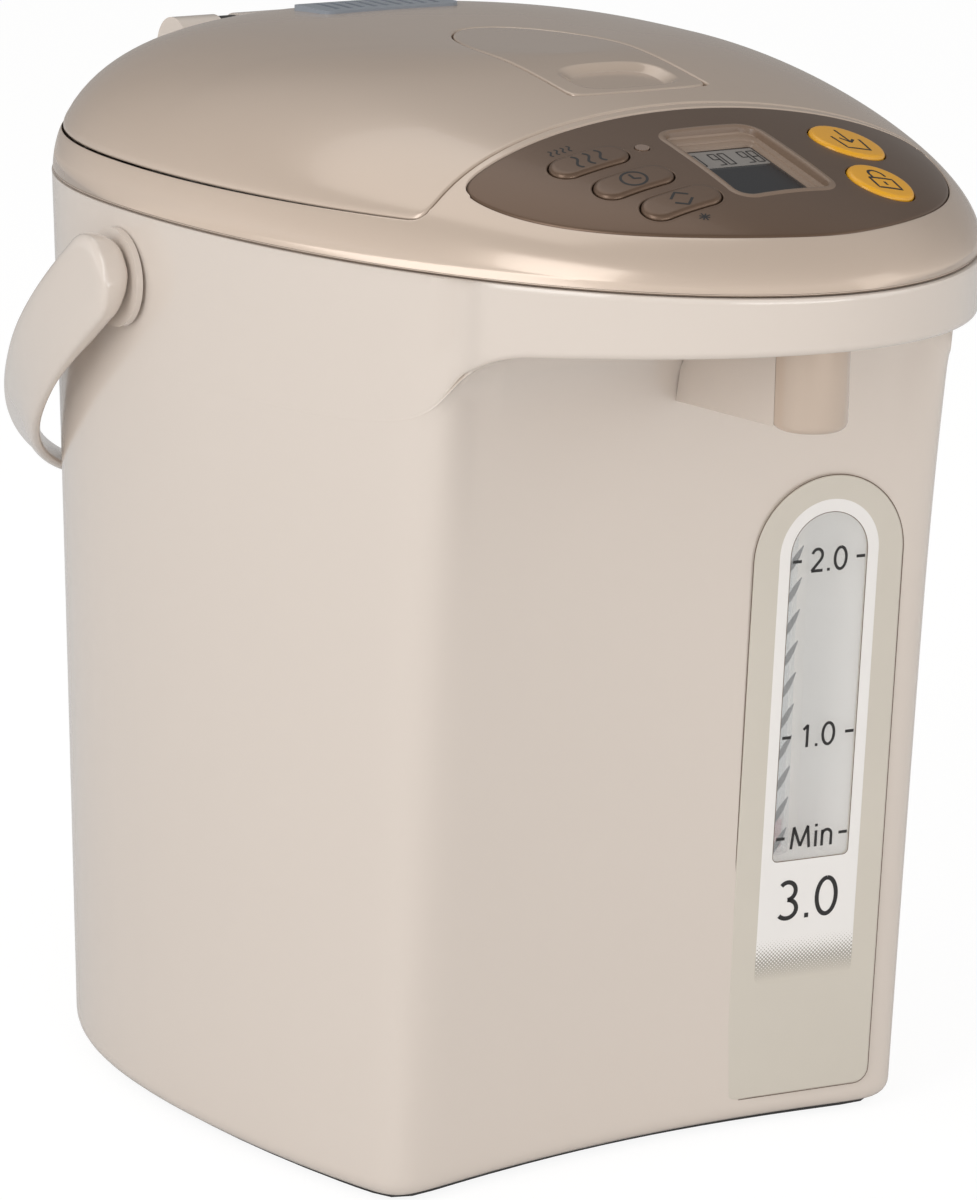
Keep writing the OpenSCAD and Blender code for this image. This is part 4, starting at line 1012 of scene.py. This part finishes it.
def neck_plan(th):
    return soft_min(plan(th, NECK, FOOT_N), front_face(th, 106.0, 103.9, 17.4), 28.7)


def body_plan(th, z):
    """Radius of the casing below the head: straight from the foot outline to the neck outline."""
    return mix(foot_plan(th), neck_plan(th), (z - 3) / 222)


def casing_columns(count):
    """Directions crowded towards the two front corners."""
    th = np.linspace(0, 2 * np.pi, 4000)
    weight = 1 + 5 * np.exp(-((np.degrees(th) - 227) / 9) ** 2) + 5 * np.exp(-((np.degrees(th) - 313) / 9) ** 2)
    s = np.cumsum(weight)
    s = (s - s[0]) / (s[-1] - s[0])
    return np.interp(np.linspace(0, 1, count, endpoint=False), s, th)


def casing_profile(th):
    """(r, z) rows of the casing's skin in the directions th: rounded foot edge, leaning wall, cove, sloping
    ceiling, rounded head edge and skirt, then a lip and the inner wall. Where the recess runs out, the head's
    edge grows soft and melts into the wall."""
    seam = plan(th, SHOULDER, FRONT_N)
    face_x = np.abs(neck_plan(th) * np.cos(th))
    zc = np.where(np.sin(th) < 0, recess_top(face_x), recess_top(106.0))
    depth0 = np.maximum(0, seam - body_plan(th, zc))
    w = ease((depth0 - 2) / 18)
    tall = mix(SOFT_EDGE, HEAD_EDGE, ease((depth0 - 8) / 16))
    flare = (1 - w) * np.maximum(0, seam - 0.2 - body_plan(th, SEAM_Z))

    def wall(z):
        """The leaning wall; beside the recess it curves out to the seam's outline over its upper part."""
        return body_plan(th, z) + flare * np.clip((z - FLARE_Z) / (SEAM_Z - FLARE_Z), 0, 1) ** 2

    low = wall(zc)
    edge = mix(np.maximum(low + 0.01, wall(zc + 0.6 + tall)), seam - 1.2, w)
    depth = np.maximum(0, edge - low)
    cr = np.minimum(COVE, 0.8 * depth)
    cz = np.maximum(cr, 5)
    lip = np.minimum(HEAD_EDGE + 3 * (1 - w), 0.4 * depth)
    z1 = zc + 0.6 + RISE * np.maximum(0, depth - cr)
    rows = []
    for q in np.radians(np.linspace(0, 90, FOOT_ROWS)):
        z = CASING_BOTTOM + (FOOT_TOP - CASING_BOTTOM) * (1 - np.cos(q))
        rows.append((body_plan(th, FOOT_TOP) - 5.4 * (1 - np.sin(q)), np.full_like(th, z)))
    for t in np.linspace(0, 1, 90)[1:]:
        z = mix(FOOT_TOP, zc - cz, t)
        rows.append((wall(z), z))
    for q in np.radians(np.linspace(0, 86, 19)[1:]):
        z = zc - cz * (1 - np.sin(q))
        rows.append((mix(wall(z), low + cr, 1 - np.cos(q)), z))
    last_r, last_z = rows[-1]
    for t in (0.25, 0.5, 0.75, 1.0):
        rows.append((mix(last_r, edge - lip, t), mix(last_z, z1, t)))
    for q in np.radians(np.linspace(0, 90, 10)[1:]):
        rows.append((edge - lip + lip * np.sin(q), z1 + tall * (1 - np.cos(q))))
    for t in np.linspace(0, 1, 12)[1:]:
        z = mix(z1 + tall, SEAM_Z - 0.5, t)
        rows.append((mix(wall(z) + (edge - wall(z1 + tall)) * (1 - t), mix(edge, seam, t), w), z))
    shaped = ease((depth0 - 1) / 9)
    rows[FOOT_ROWS:] = [(mix(wall(z), r, shaped), z) for r, z in rows[FOOT_ROWS:]]
    for r, drop in ((seam - 0.15, 0.15), (seam - 0.5, 0), (seam - WALL, 0), (mix(edge, seam, 0.8) - WALL, 6)):
        rows.append((r, np.full_like(th, SEAM_Z - drop)))
    return np.stack([np.stack(r, -1) for r in rows])


class POT_OT_casing(bpy.types.Operator):
    """The casing's smooth skin, with its openings cut."""

    bl_idname = "pot.casing"
    bl_label = "Casing"

    def execute(self, context):
        th = casing_columns(600)
        rz = casing_profile(th)
        verts = np.stack([rz[..., 0] * np.cos(th), rz[..., 0] * np.sin(th), rz[..., 1]], -1)
        quads = rings_to_faces(len(rz), len(th))
        mid = verts.reshape(-1, 3)[quads].mean(1)
        u, v = (mid[:, 0] - GAUGE_FOOT[0]) / np.cos(GAUGE_TURN), (mid[:, 2] - GAUGE_FOOT[2]) / np.cos(GAUGE_LEAN)
        gone = (arch_distance(u, v, 27.0, 66.0, 166.0) < 0) & (mid[:, 1] < 0)
        # The skin is left out behind the openings' own pieces of wall, all but a little under their edges.
        slots_x, slots_half = np.mean(SLOT_X[-7:]), np.ptp(SLOT_X[-7:]) / 2 + SLOT_SHARE[0]
        for at_x, half_x, at_z, half_z in (
                (slots_x, slots_half, SLOT_Z, SLOT_SHARE[1]), (0, INLET_SHARE[0], INLET_Z, INLET_SHARE[1])):
            covered = (np.abs(np.abs(mid[:, 0]) - at_x) < half_x - 0.6) & (np.abs(mid[:, 2] - at_z) < half_z - 1.2)
            gone |= covered & (mid[:, 1] > 0)
        skin = new_piece("casing_skin", verts, quads[~gone], FIN["shell"], "pot",
                         smooth=40)
        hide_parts("body_casing")

        # Each slot is a ring between its own outline and its share of the wall, with a turned-in edge.
        slot = arch(2.4, SLOT_Z - SLOT_HALF, SLOT_Z + SLOT_HALF, 0.5, 240)
        self.opening("cooling_slots", slot, SLOT_SHARE, SLOT_Z, SLOT_X)
        inlet = arch(2 * INLET_HALF[0], INLET_Z - INLET_HALF[1], INLET_Z + INLET_HALF[1], 1.2, 240, top=1.2)
        self.opening("inlet_surround", inlet, INLET_SHARE, INLET_Z, [0.0])
        return {"FINISHED"}

    def opening(self, name, hole, half, middle, places):
        """A rectangle of the back wall with a hole in it, repeated at several places across the wall. Rows run
        from the rectangle to the hole and then turn in through the wall."""
        d = hole - [0, middle]
        reach = np.max(np.abs(d) / half, 1, keepdims=True)
        frame_line = d / reach + [0, middle]
        turn_in, deep = 0.3, 2.4
        rows = [mix(frame_line, offset_curve(hole, turn_in), t) for t in np.linspace(0, 1, 6)]
        depth = [0.0] * 6
        for q in np.radians((30, 60, 90)):
            rows.append(offset_curve(hole, turn_in * (1 - np.sin(q))))
            depth.append(turn_in * (1 - np.cos(q)))
        rows.append(hole)
        depth.append(deep)
        pts = np.stack(rows)[None] + np.array([[x, 0.0] for x in places])[:, None, None]
        y = self.back_wall(pts[..., 0], pts[..., 1]) + 0.02 - np.array(depth)[:, None]
        verts = np.stack([pts[..., 0], y, pts[..., 1]], -1)
        count = len(rows) * len(hole)
        one = rings_to_faces(len(rows), len(hole))
        quads = (one[None] + count * np.arange(len(places))[:, None, None]).reshape(-1, 4)
        new_piece(name, verts, quads[:, ::-1], FIN["shell"], "pot", smooth=40)

    @staticmethod
    def back_wall(x, z):
        """How far back the wall stands over (x, z): the direction whose radius reaches x is found by repeated
        aiming."""
        y = np.full(np.shape(x), 109.0)
        for _ in range(30):
            th = np.arctan2(y, x)
            y = 0.5 * y + 0.5 * body_plan(th, z) * np.sin(th)
        return y


# ---- Shoulder frame, lid, panel and release plate ----

def union_radius(centre, curves, count):
    """Farthest crossing of several closed curves from a centre, in each of count directions."""
    phi = turns(count)
    ray = np.stack([np.cos(phi), np.sin(phi)], -1)[:, None]
    reach = np.zeros(count)
    for curve in curves:
        a = (curve - centre)[None]
        b = np.roll(a, -1, 1)
        cross_a = ray[..., 0] * a[..., 1] - ray[..., 1] * a[..., 0]
        cross_b = ray[..., 0] * b[..., 1] - ray[..., 1] * b[..., 0]
        t = cross_a / np.where(cross_a == cross_b, 1, cross_a - cross_b)
        far = ((a + (b - a) * t[..., None]) * ray).sum(-1)
        reach = np.maximum(reach, np.where(cross_a * cross_b <= 0, far, 0).max(1))
    return phi, reach


# Points round the shoulder ring and its neighbours, and round the lid.
RING, LID_RING = 1440, 1080


class POT_OT_top(bpy.types.Operator):
    """The shoulder frame and the bridge between the lid and the panel."""

    bl_idname = "pot.top"
    bl_label = "Top"

    def execute(self, context):
        centre = np.array([0.0, -96.3])
        lid_gap, panel_gap = lid_curve(0.45, RING), panel_curve(0.2, RING)
        phi, seams = union_radius(centre, [lid_gap, panel_gap], RING)
        ray = np.stack([np.cos(phi), np.sin(phi)], -1)
        # The ring's inside runs straight from the lid's corners, where the reach leaps, to the panel's tips.
        corner = int(np.argmax(np.abs(seams - np.roll(seams, 1)) > 4)) - 1
        corner_x, corner_y = np.abs(centre + ray[corner] * seams[corner])
        tip_x, tip_y = np.abs(panel_gap[np.argmax(panel_gap[:, 0])])
        bridge = np.array([[-corner_x, -corner_y], [0, -97], [corner_x, -corner_y], [tip_x, -tip_y], [0, -110],
                           [-tip_x, -tip_y]])
        _, reach = union_radius(centre, [bridge], RING)
        edged = np.where(reach > seams + 0.01, 0.0, 1.0)
        inner = round_corners(centre + ray * np.maximum(seams, reach)[:, None], 2)
        seam_th = turns(2 * RING)
        seam_r = plan(seam_th, DOME, FRONT_N)
        seam = np.stack([seam_r * np.cos(seam_th), seam_r * np.sin(seam_th)], -1)
        _, seam_reach = union_radius(centre, [seam], RING)
        outer = centre + ray * seam_reach[:, None]
        rows, drops = rim_rows(inner, 0.7)
        start = rows[-1]
        for t in 1 - (1 - np.linspace(0, 1, 40)[1:]) ** 2.2:
            rows.append(mix(start, outer, t))
            drops.append(0.0)
        pts = np.stack(rows)
        top = on_top(pts[..., 0], pts[..., 1], np.array(drops)[:, None] * edged)
        top[-1, :, 2] = SEAM_Z + 0.9
        skirt = [np.column_stack([offset_curve(pts[-1], step), np.full(RING, SEAM_Z + lift)])
                 for step, lift in ((0.0, 0.55), (-0.25, 0.4), (-2.2, 0.4))]
        grid = np.stack([top[0] - [0, 0, 6.0], *top, *skirt])[::-1]
        lies = np.zeros(grid.shape[:2], bool)
        lies[6:-1 - len(EDGE_STEPS)] = True
        lies[6:-1] |= edged < 0.5
        ring = new_piece("shoulder_ring", grid, rings_to_faces(len(grid), RING), FIN["top"], "pot",
                         smooth=40, on_dome=lies)
        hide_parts("upper_frame")
        # The bridge runs between the lid's front edge and the panel, and past the panel's tips to the lid's corners.
        lid_edge = lid_gap[(lid_gap[:, 1] < -90) & (np.abs(lid_gap[:, 0]) < corner_x + 1)]
        lid_edge = lid_edge[np.argsort(lid_edge[:, 0])]
        panel_edge = panel_gap[panel_gap[:, 1] > -tip_y]
        panel_edge = panel_edge[np.argsort(panel_edge[:, 0])]
        tail = np.linspace(tip_x + 0.05, corner_x - 0.3, 30)
        end = -tip_y + (tip_y - corner_y) * (tail - tip_x) / (corner_x - tip_x) - 0.4 * ease((tail - tip_x) / 3)
        x = np.concatenate([-tail[::-1], panel_edge[:, 0], tail])
        front = np.concatenate([end[::-1], panel_edge[:, 1], end])
        back = np.interp(x, lid_edge[:, 0], lid_edge[:, 1])
        beside = np.abs(x) < tip_x
        edge = 0.55
        rim = edge * EDGE_DROPS
        turn = np.minimum(edge, 0.3 * (back - front)) * EDGE_STEPS[:, None]
        across = np.linspace(0, 1, 7)[1:-1, None]
        y = np.concatenate([back - turn, mix((back - turn)[-1:], (front + turn)[-1:], across), (front + turn)[::-1]])
        drop = 0.02 + np.concatenate([rim[:, None] + 0 * x, 0 * across * x, rim[::-1, None] * beside])
        strip = on_top(np.broadcast_to(x, y.shape), y, drop)
        grid = np.concatenate([strip[:1] - [0, 0, 5.0], strip, strip[-1:] - [0, 0, 5.0]])
        lies = np.zeros(grid.shape[:2], bool)
        lies[6:13] = True
        lies[13:-1] |= ~beside
        new_piece("bridge_strip", grid, rings_to_faces(len(grid), len(x), False)[:, ::-1], FIN["top"], "pot",
                  smooth=40, on_dome=lies)
        return {"FINISHED"}


class POT_OT_lid(bpy.types.Operator):
    """The lid's skin with the hole for the release plate."""

    bl_idname = "pot.lid"
    bl_label = "Lid"

    def execute(self, context):
        centre = np.array([0.0, -42.0])
        phi, out = union_radius(centre, [lid_curve(0.0, RING)], LID_RING)
        _, hole = union_radius(centre, [lever_curve(0.35, 720)], LID_RING)
        ray = np.stack([np.cos(phi), np.sin(phi)], -1)
        outer, inner = centre + ray * out[:, None], centre + ray * hole[:, None]
        rows, drops = sheet_rows(outer, inner, 0.6, 60)
        pts = np.stack(rows)
        top = on_top(pts[..., 0], pts[..., 1], np.array(drops)[:, None])
        rim, well = top[0].copy(), top[-1] - [0, 0, 2.4]
        rim[:, 2] = np.minimum(rim[:, 2] - 0.5, np.maximum(SEAM_Z + LID_SEAM, rim[:, 2] - 14))
        under = rim.copy()
        under[:, :2] = offset_curve(rim[:, :2], -2.0)
        grid = np.stack([under, rim, *top, well])
        lies = np.zeros(grid.shape[:2], bool)
        lies[2 + len(EDGE_STEPS):-1 - len(EDGE_STEPS)] = True
        lid = new_piece("lid_skin", grid, rings_to_faces(len(grid), LID_RING), FIN["top"], "lid",
                        smooth=40, on_dome=lies)
        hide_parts("lid_shell")
        return {"FINISHED"}


class POT_OT_plates(bpy.types.Operator):
    """The control panel's skin and the release plate's skin."""

    bl_idname = "pot.plates"
    bl_label = "Panel and release plate"

    def execute(self, context):
        def cut(x, y):
            """Inside any key's or the display's opening, or within half a millimetre of it."""
            gone = np.zeros(np.shape(x), bool)
            for key in KEYS.values():
                u, v = key.inverse(x, y)
                gone |= key.distance(u, v) < KEY_GAP + 0.5
            return gone

        panel = dome_plate("panel_skin", panel_curve(0.0, 660), (0.0, -128.0), FIN["panel"], "pot",
                           depth=2.2, rows=83, raise_by=-0.1, cut=cut)
        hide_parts("control_panel")

        def dish(x, y):
            """A smooth finger recess: full depth inside a rounded rectangle, nothing outside it."""
            q = np.abs(x / 15.5) ** 3.0 + np.abs((y + 71) / 9.6) ** 3.0
            return 1.9 * np.clip((1.12 - q) / 0.6, 0, 1) ** 1.5

        lever = dome_plate("lever_skin", lever_curve(0.0, 260), (0.0, -60.0), FIN["lever"], "lever",
                           depth=2.0, rows=89, dish=dish)
        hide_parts("release_lever")
        return {"FINISHED"}


# ---- Carry handle ----

# The bail: height of its pivot, its reach and half width, the power of its half oval and its angle below level.
PIVOT_Z, REACH, BAIL_HALF, BAIL_N, DROP = 231.0, 150.0, 116.2, 2.2, np.radians(36)
# The strap: width at the arms and at the grip, thickness, roll at the grip and radius of its round end.
ARM_W, GRIP_W, STRAP_T, ROLL, HUB_R = 24.0, 16.0, 4.6, np.radians(58), 12.0


class POT_OT_handle(bpy.types.Operator):
    """The carry handle: a rounded strap carried along a half oval, rolling over towards the grip."""

    bl_idname = "pot.handle"
    bl_label = "Carry handle"

    def execute(self, context):
        # Quarter by quarter: round end about the pivot, then the half oval, mirrored for the other side.
        t = np.radians(np.concatenate([0.02 + 44.98 * np.linspace(0, 1, 90) ** 2.2, np.linspace(45, 90, 60)[1:]]))
        c, s = np.cos(t), np.sin(t)
        arm = np.stack([BAIL_HALF * c ** (2 / BAIL_N), REACH * s ** (2 / BAIL_N)], -1)
        back = HUB_R * np.cos(np.linspace(0, np.pi / 2, 20))[:-1]
        path_half = np.concatenate([np.stack([np.full(len(back), BAIL_HALF), -back], -1), arm])
        q = ease((np.concatenate([np.zeros(len(back)), 1 - np.abs(np.degrees(t) - 90) / 90]) - 0.25) / 0.55)
        end = np.concatenate([back / HUB_R, np.zeros(len(t))])
        far = path_half[:, 1]
        half = mix(ARM_W, GRIP_W, q) / 2 * np.sqrt(np.maximum(1e-4, 1 - end ** 2))
        outer_t = STRAP_T / 2 * np.maximum(0, 1 - end ** 6) ** 0.4
        inner_t = (STRAP_T / 2 + 4.4 * (1 - ease((far - 9) / 34))) * np.maximum(0, 1 - end ** 9) ** 0.3
        both = np.concatenate([path_half * [-1, 1], path_half[:-1][::-1]])
        q, half, outer_t, inner_t = (np.concatenate([a, a[:-1][::-1]]) for a in (q, half, outer_t, inner_t))
        d = np.gradient(both, axis=0)
        d /= np.linalg.norm(d, axis=1, keepdims=True)
        out = np.stack([-d[:, 1], d[:, 0]], -1)
        roll = ROLL * q
        k = turns(48)
        w = np.sign(np.cos(k)) * np.abs(np.cos(k)) ** 0.62
        h = np.sign(np.sin(k)) * np.abs(np.sin(k)) ** 0.72
        wide = w[None] * half[:, None]
        thick = np.where(h[None] > 0, h[None] * outer_t[:, None], h[None] * inner_t[:, None])
        side = wide * np.sin(roll)[:, None] + thick * np.cos(roll)[:, None]
        up = wide * np.cos(roll)[:, None] - thick * np.sin(roll)[:, None]
        x = both[:, :1] + out[:, :1] * side
        r = both[:, 1:] + out[:, 1:] * side
        y = r * np.cos(DROP) + up * np.sin(DROP)
        z = PIVOT_Z - r * np.sin(DROP) + up * np.cos(DROP)
        verts = np.stack([x, y, z], -1)
        quads = rings_to_faces(len(both), len(k))[:, ::-1]
        strap = new_piece("handle_strap", verts, quads, FIN["shell"], "handle", smooth=60)
        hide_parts("carry_handle")
        return {"FINISHED"}


# ---- Stage ----

# Share of the sky's light that is left out behind the pot, and the sky's tone from the horizon upwards.
BEHIND = 0.72
SKY = ((0.0, (1.0, 0.985, 0.97, 1)), (0.35, (0.72, 0.705, 0.69, 1)), (1.0, (0.3, 0.295, 0.29, 1)))
CAMERA_AT = (-0.73465, -1.15502, 0.48859)
CAMERA_AXES = ((0.84600, -0.53286, 0.01847), (0.12131, 0.22609, 0.96652), (-0.51919, -0.81544, 0.25591))


class POT_OT_stage(bpy.types.Operator):
    """The camera, a pale floor, a plain world and soft lamps."""

    bl_idname = "pot.stage"
    bl_label = "Stage"

    def execute(self, context):
        scene = context.scene
        scene.view_settings.view_transform = "Standard"
        lens = bpy.data.cameras.new("camera")
        lens.sensor_width, lens.lens = 36.0, 153.52
        lens.shift_x, lens.shift_y = 0.02204, 0.01266
        lens.clip_start, lens.clip_end = 0.05, 50.0
        camera = bpy.data.objects.new("camera", lens)
        turn = Matrix(CAMERA_AXES).transposed().to_4x4()
        turn.translation = CAMERA_AT
        camera.matrix_world = turn
        scene.collection.objects.link(camera)
        scene.camera = camera

        world = bpy.data.worlds.new("studio")
        scene.world = world
        world.use_nodes = True
        sky = Nodes(world.node_tree)
        split = sky.put("SeparateXYZ", Vector=sky.put("TexCoord")).out.node.outputs
        east, north, up = (Val(sky.tree, axis) for axis in split)
        behind = (east * 0.54 + north * 0.84).ramp(0.15, 0.85) * (1.0 - up.ramp(0.45, 0.8)) * BEHIND
        tone = sky.put("ValToRGB", {"stops": SKY}, Fac=up.max(0.0) ** 0.75)
        plain = sky.put("Background", Color=tone, Strength=(1.0 - behind) * scene.pot.sky_power)
        white = sky.put("Background", Color=(1, 1, 1, 1), Strength=1.0)
        end = sky.tree.nodes.new("ShaderNodeOutputWorld")
        sky.tree.links.new(sky.blend(sky.seen(), plain, white).out, end.inputs[0])

        floor_mesh = bpy.data.meshes.new("floor")
        a = turns(96)
        ring = np.stack([3.0 * np.cos(a), 3.0 * np.sin(a), np.full(96, -0.0004)], -1)
        floor_mesh.from_pydata(ring.tolist(), [], [list(range(96))])
        floor = bpy.data.objects.new("floor", floor_mesh)
        scene.collection.objects.link(floor)
        f = Finish("floor_white")
        diffuse = f.put("BsdfDiffuse", Color=(0.86, 0.86, 0.86, 1.0))
        glow = f.put("Emission", Color=(1, 1, 1, 1), Strength=1.1)
        floor_mesh.materials.append(f.close(f.blend(f.seen() * 0.82, diffuse, glow)))

        key = scene.pot.lamp_power
        self.lamp("left_soft", (-1.6, -0.6, 0.9), (0, 0, 0.14), (0.8, 1.6), key * 1.15)
        self.lamp("right_soft", (1.2, -1.3, 0.6), (0, 0, 0.14), (0.8, 1.2), key * 0.22)
        self.lamp("low_soft", (0.0, -1.6, 0.06), (0, 0, 0.2), (1.4, 0.24), key * 0.45)
        self.lamp("top_soft", (-0.1, 0.5, 1.6), (0, 0, 0.2), (1.2, 0.9), key * 0.3)
        return {"FINISHED"}

    def lamp(self, name, at, target, size, power):
        light = bpy.data.lights.new(name, "AREA")
        light.shape = "RECTANGLE"
        light.size, light.size_y, light.energy = *size, power
        lamp = bpy.data.objects.new(name, light)
        back = np.subtract(at, target)
        back = back / np.linalg.norm(back)
        right = np.cross((0, 0, 1), back)
        right /= np.linalg.norm(right)
        turn = Matrix((right, np.cross(back, right), back)).transposed().to_4x4()
        turn.translation = at
        lamp.matrix_world = turn
        bpy.context.scene.collection.objects.link(lamp)


class POT_PT_panel(bpy.types.Panel):
    """Lists the pot's pieces and settings."""

    bl_idname = "POT_PT_panel"
    bl_label = "Thermo Pot"
    bl_space_type = "VIEW_3D"
    bl_region_type = "UI"
    bl_category = "Thermo Pot"

    def draw(self, context):
        for name in ("shell", "top", "panel", "keys", "plate", "gloss", "lamp_power", "sky_power"):
            self.layout.prop(context.scene.pot, name)
        for step in STEPS:
            self.layout.operator(step.bl_idname)


STEPS = (POT_OT_finishes, POT_OT_stage, POT_OT_casing, POT_OT_top, POT_OT_lid, POT_OT_plates, POT_OT_keys,
         POT_OT_gauge, POT_OT_handle)
CLASSES = (PotSettings, *STEPS, POT_PT_panel)


def register():
    for c in CLASSES:
        bpy.utils.register_class(c)
    bpy.types.Scene.pot = PointerProperty(type=PotSettings)


def unregister():
    del bpy.types.Scene.pot
    for c in reversed(CLASSES):
        bpy.utils.unregister_class(c)


def main():
    register()
    for step in STEPS:
        group, name = step.bl_idname.split(".")
        getattr(getattr(bpy.ops, group), name)()


if __name__ == "__main__":
    main()
